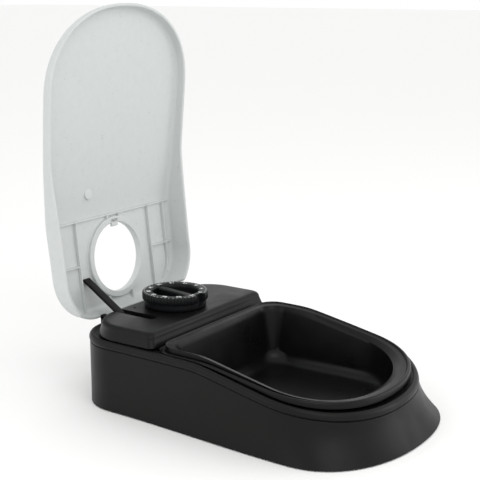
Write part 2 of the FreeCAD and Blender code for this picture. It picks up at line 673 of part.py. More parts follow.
def slot_front():
    """Y of the arm slot's front end, where the closed arm's underside comes up through the deck."""
    slant = math.radians(180.0 - arm_angle(0.0))
    rise = DECK_Z - ARM_PIVOT_Z + ARM_THICKNESS / 2 / math.cos(slant)
    return ARM_PIVOT_Y - rise / math.tan(slant) - SLOT_END_GAP


def bracket_ranges():
    """X ranges of the two brackets that hold the arm's pivot pin, with room for the spring at the left."""
    left = ARM_X - ARM_WIDTH / 2 - SIDE_GAP - SPRING_LENGTH
    right = ARM_X + ARM_WIDTH / 2 + SIDE_GAP
    return (left - BRACKET_THICKNESS, left), (right, right + BRACKET_THICKNESS)


def deck_screws():
    """Screws up through the ledge into the timer housing's posts."""
    return mirrored([screw(x, y, LEDGE_Z - BASE_WALL, DECK_SCREW_LENGTH) for x, y in DECK_SCREW_SPOTS])


# ------------------------------------------------------------------ lid, modelled closed and then opened
def opened(shape):
    """The shape turned about the hinge from its closed place to its open one."""
    return shape.rotate(Vector(0, HINGE_Y, HINGE_Z), X_AXIS, -LID_OPEN_ANGLE)


def lid_body(wall):
    """Solid inside the lid's drafted skirt, open-ended above and below."""
    def distance_at(z):
        return lambda y: wall + LID_DRAFT * (z - level(y, LEDGE_Z, LEDGE_SLOPE, LEDGE_BEND))
    wires = [outline(inset(LID_PLAN, distance_at(z)), z) for z in (LEDGE_Z / 2, 3 * LEDGE_Z / 2)]
    return Part.makeLoft(wires, True, True)


def lid():
    """Moulded lid: plate, drafted skirt, hole for the dial, ribs, hinge barrels and the latch tab."""
    under_plate = side_region(PLATE_Z, PLATE_SLOPE, PLATE_BEND, FAR_DOWN)
    outside = lid_body(0.0).common(side_region(PLATE_Z + PLATE_THICKNESS, PLATE_SLOPE, PLATE_BEND, FAR_DOWN))
    outside = outside.common(side_region(LEDGE_Z + LID_GAP, LEDGE_SLOPE, LEDGE_BEND, FAR_UP))
    inside = lid_body(LID_WALL).common(under_plate)
    in_plate = PLATE_Z + OVERLAP
    rib_heights = (PLATE_Z - RIB_HEIGHT, in_plate)
    half_rib = RIB_THICKNESS / 2
    ribs = []
    for spot in RIB_SPOTS:
        ribs += mirrored([box((spot - half_rib, spot + half_rib), (0.0, LID_REAR_EDGE), rib_heights)])
    ribs += mirrored([box((RIB_SPOTS[0], FAR_SIDE), (DIAL_Y - half_rib, DIAL_Y + half_rib), rib_heights)])
    ribs.append(box((-FAR_SIDE, FAR_SIDE), (0.0, RIB_THICKNESS), rib_heights))
    boss_z = PLATE_Z - HOLE_BOSS_HEIGHT
    ribs.append(cylinder(HOLE_RADIUS + HOLE_BOSS_WALL, (0, DIAL_Y, boss_z), HOLE_BOSS_HEIGHT + OVERLAP))
    shell = outside.cut(inside).fuse(join(ribs).common(outside))
    hole = cylinder(HOLE_RADIUS, (0, DIAL_Y, 0.0), FAR_UP)
    relief = cylinder(HINGE_RELIEF, (-FAR_SIDE, HINGE_Y, HINGE_Z), 2 * FAR_SIDE, X_AXIS)
    shell = trim(shell, [hole, relief])
    half_tab = TAB_WIDTH / 2
    tab_top = BAND_BOTTOM - TAB_GAP
    tab_low = tab_top - TAB_THICKNESS
    tab_root = DIAL_Y - HOLE_RADIUS - HOLE_BOSS_WALL
    tab = box((-half_tab, half_tab), (tab_root, DIAL_Y - COLLAR_RADIUS - TAB_GAP), (tab_low, tab_top))
    root = box((-half_tab, half_tab), (tab_root - OVERLAP, DIAL_Y - HOLE_RADIUS), (tab_low, in_plate))
    start = HINGE_SPOT - BARREL_LENGTH / 2
    barrel = cylinder(BARREL_RADIUS, (start, HINGE_Y, HINGE_Z), BARREL_LENGTH, X_AXIS)
    web_y = (HINGE_Y - BARREL_RADIUS, LID_REAR_EDGE - LID_WALL)
    web = box((start, start + BARREL_LENGTH), web_y, (HINGE_Z, in_plate))
    shell = shell.fuse([tab, root] + mirrored([barrel.fuse(web)]))
    bore = cylinder(PIN_RADIUS + RUNNING_GAP, (-FAR_SIDE, HINGE_Y, HINGE_Z), 2 * FAR_SIDE, X_AXIS)
    return opened(shell.cut(bore))


def hinge_pins():
    """One pin through each pair of ears."""
    reach = BARREL_LENGTH / 2 + SIDE_GAP + EAR_THICKNESS
    return mirrored([cylinder(PIN_RADIUS, (HINGE_SPOT - reach, HINGE_Y, HINGE_Z), 2 * reach, X_AXIS)])


# ------------------------------------------------------------------ lift arm
def arm_angle(lid_angle):
    """Angle of the arm above the rear horizontal, in degrees, when its tip is against the lid's plate."""
    turn = math.radians(lid_angle)
    clear = PLATE_Z - HINGE_Z - ARM_THICKNESS / 2 - ARM_TIP_GAP
    reach = clear - math.sin(turn) * (ARM_PIVOT_Y - HINGE_Y) - math.cos(turn) * (ARM_PIVOT_Z - HINGE_Z)
    return 180.0 - lid_angle - math.degrees(math.asin(reach / ARM_LENGTH))


def lift_arm():
    """Flat arm with a hub at its pivot and a round tip that pushes the lid up."""
    left = ARM_X - ARM_WIDTH / 2
    half = ARM_THICKNESS / 2
    blade = box((left, left + ARM_WIDTH), (0.0, ARM_LENGTH), (-half, half))
    tip = cylinder(half, (left, ARM_LENGTH, 0.0), ARM_WIDTH, X_AXIS)
    hub = cylinder(ARM_HUB_RADIUS, (left, 0.0, 0.0), ARM_WIDTH, X_AXIS)
    arm = join([blade, tip, hub]).cut(cylinder(PIN_RADIUS + RUNNING_GAP, (left, 0.0, 0.0), ARM_WIDTH, X_AXIS))
    arm = arm.rotate(Vector(0, 0, 0), X_AXIS, arm_angle(LID_OPEN_ANGLE))
    arm.translate(Vector(0, ARM_PIVOT_Y, ARM_PIVOT_Z))
    return arm


def arm_pivot_pin():
    """Pin through the arm's hub, its spring and both brackets."""
    (left, _), (_, right) = bracket_ranges()
    return cylinder(PIN_RADIUS, (left, ARM_PIVOT_Y, ARM_PIVOT_Z), right - left, X_AXIS)


def arm_spring():
    """Torsion spring wound round the pivot pin beside the arm's hub."""
    start = bracket_ranges()[0][1] + SPRING_WIRE
    length = SPRING_LENGTH - 2 * SPRING_WIRE
    helix = Part.makeHelix(length / SPRING_TURNS, length, SPRING_RADIUS)
    section = Part.Wire(Part.makeCircle(SPRING_WIRE / 2, Vector(SPRING_RADIUS, 0, 0), Y_AXIS))
    coil = Part.Wire(helix).makePipeShell([section], True, True)
    coil.rotate(Vector(0, 0, 0), Y_AXIS, 90)
    coil.translate(Vector(start, ARM_PIVOT_Y, ARM_PIVOT_Z))
    return coil


# ------------------------------------------------------------------ dial
def dial():
    """Hour dial: fluted band over a smooth collar, a recess with a grip bar, and the release notch."""
    bottom = DECK_Z + DIAL_LIFT
    body = cylinder(COLLAR_RADIUS, (0, DIAL_Y, bottom), BAND_BOTTOM - bottom)
    body = body.fuse(cylinder(DIAL_RADIUS, (0, DIAL_Y, BAND_BOTTOM), DIAL_TOP - BAND_BOTTOM))
    recess = cylinder(RECESS_RADIUS, (0, DIAL_Y, RECESS_BOTTOM), DIAL_TOP)
    flutes = []
    for index in range(FLUTES):
        angle = 2 * math.pi * (index + 0.5) / FLUTES
        spot = (DIAL_RADIUS * math.cos(angle), DIAL_Y + DIAL_RADIUS * math.sin(angle), BAND_BOTTOM)
        flutes.append(cylinder(FLUTE_RADIUS, spot, DIAL_TOP))
    half_notch = TAB_WIDTH / 2 + NOTCH_SIDE_GAP
    notch = box((-half_notch, half_notch), (DIAL_Y - FAR_SIDE, DIAL_Y - NOTCH_FLOOR_RADIUS),
                (BAND_BOTTOM - TAB_THICKNESS - NOTCH_UNDER_GAP, FAR_UP))
    hollow = cylinder(COLLAR_RADIUS - UNDERCUT_WALL, (0, DIAL_Y, bottom), UNDERCUT_DEPTH)
    hollow = hollow.cut(cylinder(2 * ARBOR_RADIUS, (0, DIAL_Y, bottom), UNDERCUT_DEPTH))
    body = trim(body, [recess, notch, hollow] + flutes)
    grip = box((-RECESS_RADIUS - OVERLAP, RECESS_RADIUS + OVERLAP), (-GRIP_WIDTH / 2, GRIP_WIDTH / 2),
               (RECESS_BOTTOM, DIAL_TOP - GRIP_DROP))
    grip.rotate(Vector(0, 0, 0), Z_AXIS, GRIP_ANGLE)
    grip.translate(Vector(0, DIAL_Y, 0))
    return body.fuse(grip).cut(arbor_core())


def arbor_core():
    """The plain round length of the dial's arbor."""
    low = CASE_BOTTOM + ARBOR_END_GAP
    return cylinder(ARBOR_RADIUS, (0, DIAL_Y, low), RECESS_BOTTOM + ARBOR_SOCKET - low)


def dial_arbor():
    """Arbor from the dial down to the case's lower bearing, with the flange that the output wheel sits on."""
    spot = (0, DIAL_Y, WHEEL_Z - FLANGE_THICKNESS)
    return arbor_core().fuse(cylinder(2 * ARBOR_RADIUS, spot, FLANGE_THICKNESS - RUNNING_GAP))


def arbor_ring(radius, z, height):
    """Ring on the arbor."""
    return cylinder(radius, (0, DIAL_Y, z), height).cut(cylinder(ARBOR_RADIUS, (0, DIAL_Y, z), height))


def clutch_washer():
    """Spring washer that lets the dial slip on the output wheel when it is set by hand."""
    return arbor_ring(2 * ARBOR_RADIUS, WHEEL_Z + WHEEL_THICKNESS + RUNNING_GAP, WASHER_THICKNESS)


def arbor_clip():
    """Clip that holds the washer down."""
    low = WHEEL_Z + WHEEL_THICKNESS + RUNNING_GAP + WASHER_THICKNESS
    return arbor_ring(1.6 * ARBOR_RADIUS, low, WASHER_THICKNESS)


# ------------------------------------------------------------------ timer movement
def timer_place(shape):
    """The shape moved from the dial's axis at the origin to the dial's axis in the feeder."""
    shape.translate(Vector(0, DIAL_Y, 0))
    return shape


def train_spot():
    """Centre of the intermediate wheel, from the dial's axis."""
    angle = math.radians(TRAIN_ANGLE)
    return TRAIN_DISTANCE * math.cos(angle), TRAIN_DISTANCE * math.sin(angle)


def rotor_spot():
    """Centre of the rotor, from the dial's axis."""
    x, y = train_spot()
    angle = math.radians(ROTOR_ANGLE)
    return x + ROTOR_DISTANCE * math.cos(angle), y + ROTOR_DISTANCE * math.sin(angle)


def shaft_holes(radius, z, height):
    """Holes for the two wheel pins and for the arbor."""
    holes = [cylinder(radius, (x, y, z), height) for x, y in (train_spot(), rotor_spot())]
    return holes + [cylinder(ARBOR_RADIUS + RUNNING_GAP, (0, 0, z), height)]


def timer_case():
    """Upper tub of the movement's case, with two ears that hang it from the timer housing."""
    case = box((CASE_LEFT, CASE_RIGHT), (-CASE_HALF_DEPTH, CASE_HALF_DEPTH),
               (CASE_BOTTOM + CASE_WALL, CASE_TOP))
    space = box((CASE_LEFT + CASE_WALL, CASE_RIGHT - CASE_WALL),
                (CASE_WALL - CASE_HALF_DEPTH, CASE_HALF_DEPTH - CASE_WALL), (CASE_BOTTOM, TOP_OF_CASE_INSIDE))
    ears = []
    for (x, y), side in zip(CASE_SCREW_SPOTS, (1, -1)):
        y -= DIAL_Y
        ears.append(cylinder(EAR_RADIUS, (x, y, EAR_Z), EAR_HEIGHT - EAR_GAP))
        reach = sorted((x, x + side * (EAR_SPACING + CASE_WALL / 2)))
        ears.append(box(reach, (y - EAR_RADIUS, y + EAR_RADIUS), (EAR_Z, EAR_Z + EAR_HEIGHT - EAR_GAP)))
    bore = SCREW_RADIUS + SCREW_HOLE_GAP
    holes = [cylinder(bore, (x, y - DIAL_Y, EAR_Z), EAR_HEIGHT) for x, y in CASE_SCREW_SPOTS]
    case = trim(case.fuse(ears), [space] + holes + shaft_holes(PIVOT_RADIUS, TOP_OF_CASE_INSIDE, CASE_WALL))
    return timer_place(case)


def timer_case_cover():
    """Lower cover of the movement's case, with the lower bearings and the leads' holes."""
    cover = box((CASE_LEFT, CASE_RIGHT), (-CASE_HALF_DEPTH, CASE_HALF_DEPTH),
                (CASE_BOTTOM, CASE_BOTTOM + CASE_WALL))
    cover = timer_place(trim(cover, shaft_holes(PIVOT_RADIUS, CASE_BOTTOM, CASE_WALL)))
    return trim(cover, [cylinder(2 * LEAD_RADIUS, (x, y, CASE_BOTTOM), CASE_WALL) for x, y in LEAD_ENDS])


def timer_screws():
    """Screws up through the case's ears into the timer housing's posts."""
    return [screw(x, y, EAR_Z, CASE_SCREW_LENGTH) for x, y in CASE_SCREW_SPOTS]


def output_wheel():
    """Wheel on the dial's arbor that turns once in two days."""
    wheel = gear(DRIVE_MODULE, DRIVE_TEETH, WHEEL_Z, WHEEL_THICKNESS, ARBOR_RADIUS + RUNNING_GAP, TRAIN_ANGLE)
    return timer_place(wheel)


def intermediate_wheel():
    """Pinion that meshes with the output wheel, with the wheel that the rotor drives below it."""
    bore = PIVOT_RADIUS + RUNNING_GAP
    pinion_z = WHEEL_Z - PINION_OVERHANG
    pinion = gear(DRIVE_MODULE, PINION_TEETH, pinion_z, WHEEL_THICKNESS + 2 * PINION_OVERHANG, bore,
                  TRAIN_ANGLE + 180.0 + HALF_PITCH)
    wheel = gear(TRAIN_MODULE, TRAIN_TEETH, TRAIN_WHEEL_Z, TRAIN_WHEEL_THICKNESS, bore, ROTOR_ANGLE)
    low = TRAIN_WHEEL_Z + TRAIN_WHEEL_THICKNESS
    hub = cylinder(TRAIN_HUB_RADIUS, (0, 0, low), pinion_z - low)
    hub = hub.cut(cylinder(bore, (0, 0, low), pinion_z - low))
    shape = join([pinion, wheel, hub])
    shape.translate(Vector(*train_spot(), 0))
    return timer_place(shape)


def rotor():
    """Stepping motor's rotor: a magnet disc below its pinion."""
    bore = PIVOT_RADIUS + RUNNING_GAP
    pinion_z = TRAIN_WHEEL_Z - TRAIN_PINION_OVERHANG
    height = TRAIN_WHEEL_THICKNESS + 2 * TRAIN_PINION_OVERHANG
    pinion = gear(TRAIN_MODULE, PINION_TEETH, pinion_z, height, bore, ROTOR_ANGLE + 180.0 + HALF_PITCH)
    stem = cylinder(ROTOR_STEM_RADIUS, (0, 0, MAGNET_Z), pinion_z - MAGNET_Z)
    magnet = cylinder(MAGNET_RADIUS, (0, 0, MAGNET_Z), MAGNET_HEIGHT)
    disc = magnet.fuse(stem).cut(cylinder(bore, (0, 0, MAGNET_Z), pinion_z - MAGNET_Z))
    shape = join([pinion, disc])
    shape.translate(Vector(*rotor_spot(), 0))
    return timer_place(shape)


def wheel_pins():
    """Fixed pins that the intermediate wheel and the rotor turn on."""
    spots = (train_spot(), rotor_spot())
    low, high = CASE_BOTTOM + ARBOR_END_GAP, CASE_TOP - ARBOR_END_GAP
    return [timer_place(cylinder(PIVOT_RADIUS, (x, y, low), high - low)) for x, y in spots]


def coil_place():
    """X range of the coil, and its Y from the dial's axis."""
    x, _ = rotor_spot()
    right = x - MAGNET_RADIUS - STATOR_MARGIN - COIL_END_GAP
    return (right - COIL_LENGTH, right), CASE_HALF_DEPTH - CASE_WALL - COIL_RADIUS - COIL_WALL_GAP


def stator():
    """Iron strip round the rotor and through the coil."""
    (x0, x1), y = coil_place()
    x, rotor_y = rotor_spot()
    half = MAGNET_RADIUS + STATOR_MARGIN
    z_range = (STATOR_Z, STATOR_Z + STATOR_THICKNESS)
    frame = box((x - half, x + half), (rotor_y - half, y + STRIP_HALF), z_range)
    core = box((x0 - STATOR_MARGIN, x + half), (y - STRIP_HALF, y + STRIP_HALF), z_range)
    gap = cylinder(MAGNET_RADIUS + STATOR_AIR_GAP, (x, rotor_y, MAGNET_Z), MAGNET_HEIGHT)
    return timer_place(frame.fuse(core).cut(gap))


def coil():
    """Winding on the stator's core, between the frame and the strip's free end."""
    (x0, x1), y = coil_place()
    winding = cylinder(COIL_RADIUS, (x0, y, STATOR_Z + STATOR_THICKNESS / 2), x1 - x0, X_AXIS)
    core = box((x0, x1), (y - STRIP_HALF, y + STRIP_HALF), (STATOR_Z, STATOR_Z + STATOR_THICKNESS))
    return timer_place(winding.cut(core))


def circuit_board():
    """Board that counts the quartz crystal's beat."""
    x0 = CASE_LEFT + CASE_WALL + BOARD_SIDE_GAP
    depth = CASE_HALF_DEPTH - CASE_WALL - BOARD_END_GAP
    return timer_place(box((x0, BOARD_RIGHT), (-depth, depth), (BOARD_Z, BOARD_Z + BOARD_THICKNESS)))


def quartz_crystal():
    """Crystal in its small metal can, lying on the board."""
    spot = (*CRYSTAL_SPOT, BOARD_Z + BOARD_THICKNESS + CRYSTAL_RADIUS)
    return timer_place(cylinder(CRYSTAL_RADIUS, spot, CRYSTAL_LENGTH, Y_AXIS))


# ------------------------------------------------------------------ battery
def battery_cell():
    """One AA cell lying across the feeder."""
    half = CELL_LENGTH / 2
    nub = cylinder(NUB_RADIUS, (half, DIAL_Y, CELL_Z), NUB_LENGTH, X_AXIS)
    return cylinder(CELL_RADIUS, (-half, DIAL_Y, CELL_Z), CELL_LENGTH, X_AXIS).fuse(nub)


def contact_plate(x):
    """Metal plate at one end of the cell, with a strip up through the battery box."""
    x_range = (x, x + CONTACT_THICKNESS)
    plate = box(x_range, (DIAL_Y - CONTACT_HALF, DIAL_Y + CONTACT_HALF),
                (CELL_Z - CONTACT_HALF, CELL_Z + CONTACT_HALF))
    strip = box(x_range, (DIAL_Y - STRIP_HALF_WIDTH, DIAL_Y + STRIP_HALF_WIDTH), (CELL_Z, STRIP_TOP))
    return plate.fuse(strip)


def positive_contact():
    """Contact against the cell's nub."""
    return contact_plate(battery_inside()[0][1] - CONTACT_THICKNESS)


def negative_contact():
    """Contact with three spring turns that widen toward its plate."""
    x0 = battery_inside()[0][0]
    turns = []
    for index, radius in enumerate(CELL_SPRING_RADII):
        x = x0 + CONTACT_THICKNESS + CELL_SPRING_START + index * CELL_SPRING_PITCH
        turns.append(Part.makeTorus(radius, CELL_SPRING_WIRE, Vector(x, DIAL_Y, CELL_Z), X_AXIS))
    return join([contact_plate(x0)] + turns)


def battery_cover():
    """Flat cover that slides in the floor's track."""
    x_range, y_range = cover_ranges(0.0)
    return box(x_range, y_range, (FOOT_HEIGHT, FOOT_HEIGHT + COVER_THICKNESS))


def lead(x, end):
    """Insulated wire from a contact's strip up to the circuit board."""
    points = [Vector(x, DIAL_Y, STRIP_TOP), Vector(x, DIAL_Y, LEAD_LEVEL), Vector(*end, LEAD_LEVEL),
              Vector(*end, BOARD_Z)]
    return bent_wire(points, LEAD_RADIUS, LEAD_BEND)


def positive_lead():
    """Lead from the cell's nub end."""
    return lead(battery_inside()[0][1] - CONTACT_THICKNESS / 2, LEAD_ENDS[0])


def negative_lead():
    """Lead from the cell's spring end."""
    return lead(battery_inside()[0][0] + CONTACT_THICKNESS / 2, LEAD_ENDS[1])


# ------------------------------------------------------------------ export
NODES = (
    base_shell, bottom_plate, rubber_feet, bottom_screws, bowl, deck_cover, deck_screws, lid, hinge_pins,
    lift_arm, arm_pivot_pin, arm_spring, dial, dial_arbor, clutch_washer, arbor_clip, timer_case,
    timer_case_cover, timer_screws, output_wheel, intermediate_wheel, rotor, wheel_pins, stator, coil,
    circuit_board, quartz_crystal, battery_cell, positive_contact, negative_contact, battery_cover,
    positive_lead, negative_lead,
)


def main():
    """Build every node, move it to the feeder's origin and write it."""
    os.makedirs("parts", exist_ok=True)
    front = FOOT_NOSE_START - FOOT_NOSE_REACH
    turn = math.radians(LID_OPEN_ANGLE)
    rear = HINGE_Y + (PLATE_Z + PLATE_THICKNESS - HINGE_Z) * math.sin(turn)
    rear -= (HINGE_Y - PLATE_BEND) * math.cos(turn)
    origin_y = round((front + rear) / 2, 1)
    for build in NODES:
        made = build()
        shape = Part.makeCompound(made) if isinstance(made, list) else made
        shape.translate(Vector(0, -origin_y, 0))
        shape.exportStep("parts/" + build.__name__ + ".step")
    print("origin is at layout Y", origin_y)
    print("arm angle open and closed", arm_angle(LID_OPEN_ANGLE), arm_angle(0.0))


if __name__ == "__main__":
    main()
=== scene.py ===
"""Looks of a single-meal automatic pet feeder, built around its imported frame.

Sizes are in metres. MM turns a size in millimetres into metres.
"""
import json
import math

import bmesh
import bpy
import numpy as np
from mathutils import Matrix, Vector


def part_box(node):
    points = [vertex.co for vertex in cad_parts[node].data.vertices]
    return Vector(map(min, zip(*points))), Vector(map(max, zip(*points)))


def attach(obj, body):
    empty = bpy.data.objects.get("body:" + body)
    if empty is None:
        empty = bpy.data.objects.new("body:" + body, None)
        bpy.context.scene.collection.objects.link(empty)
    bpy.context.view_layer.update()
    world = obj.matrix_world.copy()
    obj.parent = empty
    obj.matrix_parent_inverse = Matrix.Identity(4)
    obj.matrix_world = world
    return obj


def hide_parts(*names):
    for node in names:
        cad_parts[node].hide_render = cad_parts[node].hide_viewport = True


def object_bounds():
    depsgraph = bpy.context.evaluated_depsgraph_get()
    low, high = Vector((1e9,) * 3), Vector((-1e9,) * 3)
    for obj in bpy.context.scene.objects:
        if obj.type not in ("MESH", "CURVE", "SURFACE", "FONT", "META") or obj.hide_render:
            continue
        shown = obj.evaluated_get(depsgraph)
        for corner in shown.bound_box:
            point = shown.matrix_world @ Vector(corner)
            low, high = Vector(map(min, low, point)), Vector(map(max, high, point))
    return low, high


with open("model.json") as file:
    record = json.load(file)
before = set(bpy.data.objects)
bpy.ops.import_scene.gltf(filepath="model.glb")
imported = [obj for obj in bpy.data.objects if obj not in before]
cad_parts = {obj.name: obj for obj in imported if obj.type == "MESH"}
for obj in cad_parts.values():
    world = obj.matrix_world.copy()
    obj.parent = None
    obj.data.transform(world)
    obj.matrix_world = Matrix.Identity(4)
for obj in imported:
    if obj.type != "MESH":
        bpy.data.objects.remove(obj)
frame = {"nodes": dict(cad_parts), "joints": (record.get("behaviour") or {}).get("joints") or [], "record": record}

bl_info = {
    "name": "Automatic pet feeder",
    "version": (1, 0, 0),
    "blender": (4, 5, 0),
    "location": "3D View > Sidebar > Feeder",
    "description": "Visible pieces, finishes, lights and camera of a single-meal automatic pet feeder",
    "category": "Object",
}

# ------------------------------------------------------------------ places read from the frame
MM = 0.001
CAD_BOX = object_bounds()
BASE_LOW, BASE_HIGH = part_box("base_shell")
DECK_LOW, DECK_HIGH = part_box("deck_cover")
BOWL_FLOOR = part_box("bowl")[0].z
DIAL_LOW, DIAL_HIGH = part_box("dial")
ARM_LOW, ARM_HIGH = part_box("lift_arm")
JOINTS = {joint["name"]: joint for joint in frame["joints"]}
HINGE_Y, HINGE_Z = JOINTS["lid_hinge"]["pos_m"][1:]
OPEN_ANGLE = math.radians(-JOINTS["lid_hinge"]["range_deg"][0])
ARM_X, ARM_Y, ARM_Z = JOINTS["arm_pivot"]["pos_m"]
DIAL_Y = JOINTS["dial_turn"]["pos_m"][1]
DECK_FRONT = DECK_LOW.y
REAR_WALL = HINGE_Y - 0.3 * MM

# ------------------------------------------------------------------ sizes that several pieces share
PLAN_POINTS = 360
SHELL_HALF_WIDTH = 73 * MM
NOSE_HALF_WIDTH = 76.3 * MM
NOSE_REACH = 61 * MM
NOSE_START = DECK_FRONT - 92 * MM
FOOT_NOSE_START = DECK_FRONT - 115 * MM
REAR_CORNER = 34 * MM
NOSE_POWER = 2.2
LEDGE_Z = 51.5 * MM
LEDGE_SLOPE = 0.2
LEDGE_BEND = -40 * MM
BEND_ROUND = 7 * MM
PLATE_SLOPE = 0.21
HINGE_RADIUS = 2.5 * MM
SMALL_EDGE = 0.3 * MM
QUARTER = np.linspace(0, math.pi / 2, 9)


# ------------------------------------------------------------------ helpers for sizes and colours
def size(name, millimetres, description):
    """A length that the user can change, given in millimetres."""
    return bpy.props.FloatProperty(name=name, description=description, default=millimetres * MM,
                                   unit="LENGTH", precision=4)


def linear(hexadecimal):
    """Linear red, green and blue of an sRGB hex colour."""
    parts = np.array([int(hexadecimal[place:place + 2], 16) / 255 for place in (1, 3, 5)])
    return tuple(np.where(parts <= 0.04045, parts / 12.92, ((parts + 0.055) / 1.055) ** 2.4))


def colour(name, hexadecimal, description):
    """A colour that the user can change, given as an sRGB hex value."""
    return bpy.props.FloatVectorProperty(name=name, description=description, default=linear(hexadecimal),
                                         subtype="COLOR", size=3, min=0.0, max=1.0)


# ------------------------------------------------------------------ what the user can change
class FeederBase(bpy.types.PropertyGroup):
    """Base and bottom sizes."""
    wall: size("Wall", 2.4, "Thickness of the base's wall")
    skirt_bottom: size("Skirt bottom", 0.8, "Height of the skirt's lower edge")
    flare_height: size("Flare height", 33.0, "Height above which the skirt stands upright")
    ledge_z: size("Ledge height", 51.5, "Height of the ledge beside the timer housing")
    bead: size("Bead", 0.5, "How far the ledge's round bead stands proud of the skirt")
    groove: size("Groove", 0.7, "Depth of the fine groove below the bead")


class FeederBowl(bpy.types.PropertyGroup):
    """Bowl sizes."""
    half_width: size("Half width", 71.4, "Half width of the lip at the rear")
    nose_half: size("Nose half width", 72.6, "Half width of the lip where the nose starts")
    rim_z: size("Rim height", 52.3, "Height of the lip's top at the rear")
    lip_wall: size("Lip wall", 2.8, "Thickness of the lip")
    floor_radius: size("Floor radius", 9.0, "Round between the bowl's wall and its floor")


class FeederDeck(bpy.types.PropertyGroup):
    """Timer housing sizes."""
    edge_radius: size("Edge radius", 4.0, "Round along the top edge")
    draft: size("Draft", 3.1, "How far the walls lean in from foot to top")
    wall: size("Wall", 2.4, "Thickness of the cover")
    rear_radius: size("Rear radius", 31.0, "Radius of the rear corners")
    slot_margin: size("Slot margin", 0.75, "Room beside the lift arm in its slot")


class FeederLid(bpy.types.PropertyGroup):
    """Lid sizes."""
    wall: size("Wall", 2.2, "Thickness of the skirt")
    plate: size("Plate", 2.5, "Thickness of the plate")
    plate_z: size("Plate height", 68.5, "Height of the plate's inside over the timer, lid closed")
    edge_radius: size("Edge radius", 6.0, "Round between plate and skirt")
    hole_radius: size("Hole radius", 26.4, "Radius of the hole for the dial")
    rib_height: size("Rib height", 2.4, "Height of the ribs")


class FeederDial(bpy.types.PropertyGroup):
    """Dial sizes."""
    flute: size("Flute depth", 0.55, "Depth of the flutes round the band")
    flutes: bpy.props.IntProperty(name="Flutes", description="Number of flutes round the band", default=60)
    recess_radius: size("Recess radius", 17.0, "Radius of the recess")
    grip_angle: bpy.props.FloatProperty(name="Grip angle", description="Direction of the grip bar from +X",
                                        default=math.radians(80), subtype="ANGLE")
    numeral: size("Numeral height", 4.1, "Height of the hour figures")


class FeederFinish(bpy.types.PropertyGroup):
    """Colours."""
    black: colour("Black plastic", "#0b0b0a", "Base, timer housing and floor")
    bowl: colour("Bowl plastic", "#0a0a0b", "Bowl")
    lid: colour("Lid plastic", "#c8cccb", "Lid")
    speck: colour("Lid specks", "#a3a9a5", "Fine specks in the lid's plastic")
    dial: colour("Dial plastic", "#101113", "Dial")
    print: colour("Printing", "#f2f3f4", "Hour figures and ticks")
    floor: colour("Studio floor", "#f7f7f6", "Floor under the feeder")


class FeederStage(bpy.types.PropertyGroup):
    """Camera and lights."""
    eye: bpy.props.FloatVectorProperty(name="Eye", description="Where the camera stands", size=3,
                                       default=(-0.6285, -0.4196, 0.2933), unit="LENGTH")
    heading: bpy.props.FloatProperty(name="Heading", description="Direction of view, clockwise from +Y",
                                     default=math.radians(55.52), subtype="ANGLE")
    pitch: bpy.props.FloatProperty(name="Pitch", description="How far the camera looks down",
                                   default=math.radians(12.91), subtype="ANGLE")
    lens: bpy.props.FloatProperty(name="Lens", description="Focal length in millimetres", default=83.5)
    key_power: bpy.props.FloatProperty(name="Key power", description="Power of the key light in watts",
                                       default=4.4)


# ------------------------------------------------------------------ surfaces
def plan(half_width, nose_half, nose_start, nose_reach, rear_edge, rear_radius):
    """Closed plan outline, evenly spaced along its length.

    A straight rear edge, a quarter circle, a side that eases from one half width to the other, and a nose
    where |x / half width| and |y / reach|, both to the power 2.2, add up to one.
    """
    turn = np.linspace(0, math.pi / 2, 60)
    share = np.linspace(0, 1, 60)[1:-1]
    straight = half_width - rear_radius
    side_start = rear_edge - rear_radius
    power = 2 / NOSE_POWER
    across = np.concatenate([[0], straight + rear_radius * np.sin(turn),
                             half_width + (nose_half - half_width) * share ** 2 * (3 - 2 * share),
                             nose_half * np.cos(turn).clip(0) ** power])
    along = np.concatenate([[rear_edge], side_start + rear_radius * np.cos(turn),
                            side_start + (nose_start - side_start) * share,
                            nose_start - nose_reach * np.sin(turn) ** power])
    half = np.stack([across, along], 1)
    return spaced(np.vstack([half, half[-2:0:-1] * (-1, 1)]), PLAN_POINTS)


def spaced(points, count):
    """The closed outline with its points evenly spaced along its length."""
    closed = np.vstack([points, points[:1]])
    run = np.concatenate([[0], np.cumsum(np.hypot(*np.diff(closed, axis=0).T))])
    places = np.linspace(0, run[-1], count, endpoint=False)
    return np.stack([np.interp(places, run, closed[:, 0]), np.interp(places, run, closed[:, 1])], 1)


def inward(outline):
    """Unit normals that point into the closed outline."""
    tangent = np.roll(outline, -1, 0) - np.roll(outline, 1, 0)
    normal = np.stack([tangent[:, 1], -tangent[:, 0]], 1)
    area = np.sum(outline[:, 0] * np.roll(outline[:, 1], -1) - np.roll(outline[:, 0], -1) * outline[:, 1])
    return normal / np.hypot(*normal.T)[:, None] * (-1 if area > 0 else 1)


def level(y, flat, slope, bend):
    """Height at Y of a line that is flat behind the bend and falls before it, rounded by a hyperbola."""
    run = y - (DECK_FRONT + bend)
    return flat + slope * (run - np.sqrt(run ** 2 + BEND_ROUND ** 2)) / 2


def ledge_height(y, flat=LEDGE_Z):
    """Height of the ledge that runs round the bowl, which falls toward the nose."""
    return level(y, flat, LEDGE_SLOPE, LEDGE_BEND)


def eased(value):
    """Smooth step from 0 to 1."""
    share = np.clip(value, 0, 1)
    return share ** 2 * (3 - 2 * share)


def ring(outline, height):
    """Points of an outline at a height, which is one value or one for each point."""
    return np.column_stack([outline, np.broadcast_to(height, len(outline))])


def between(first, last, count):
    """Rings that go evenly from one ring to another, both left out."""
    share = np.linspace(0, 1, count + 2)[1:-1, None, None]
    return list(first + (last - first) * share)


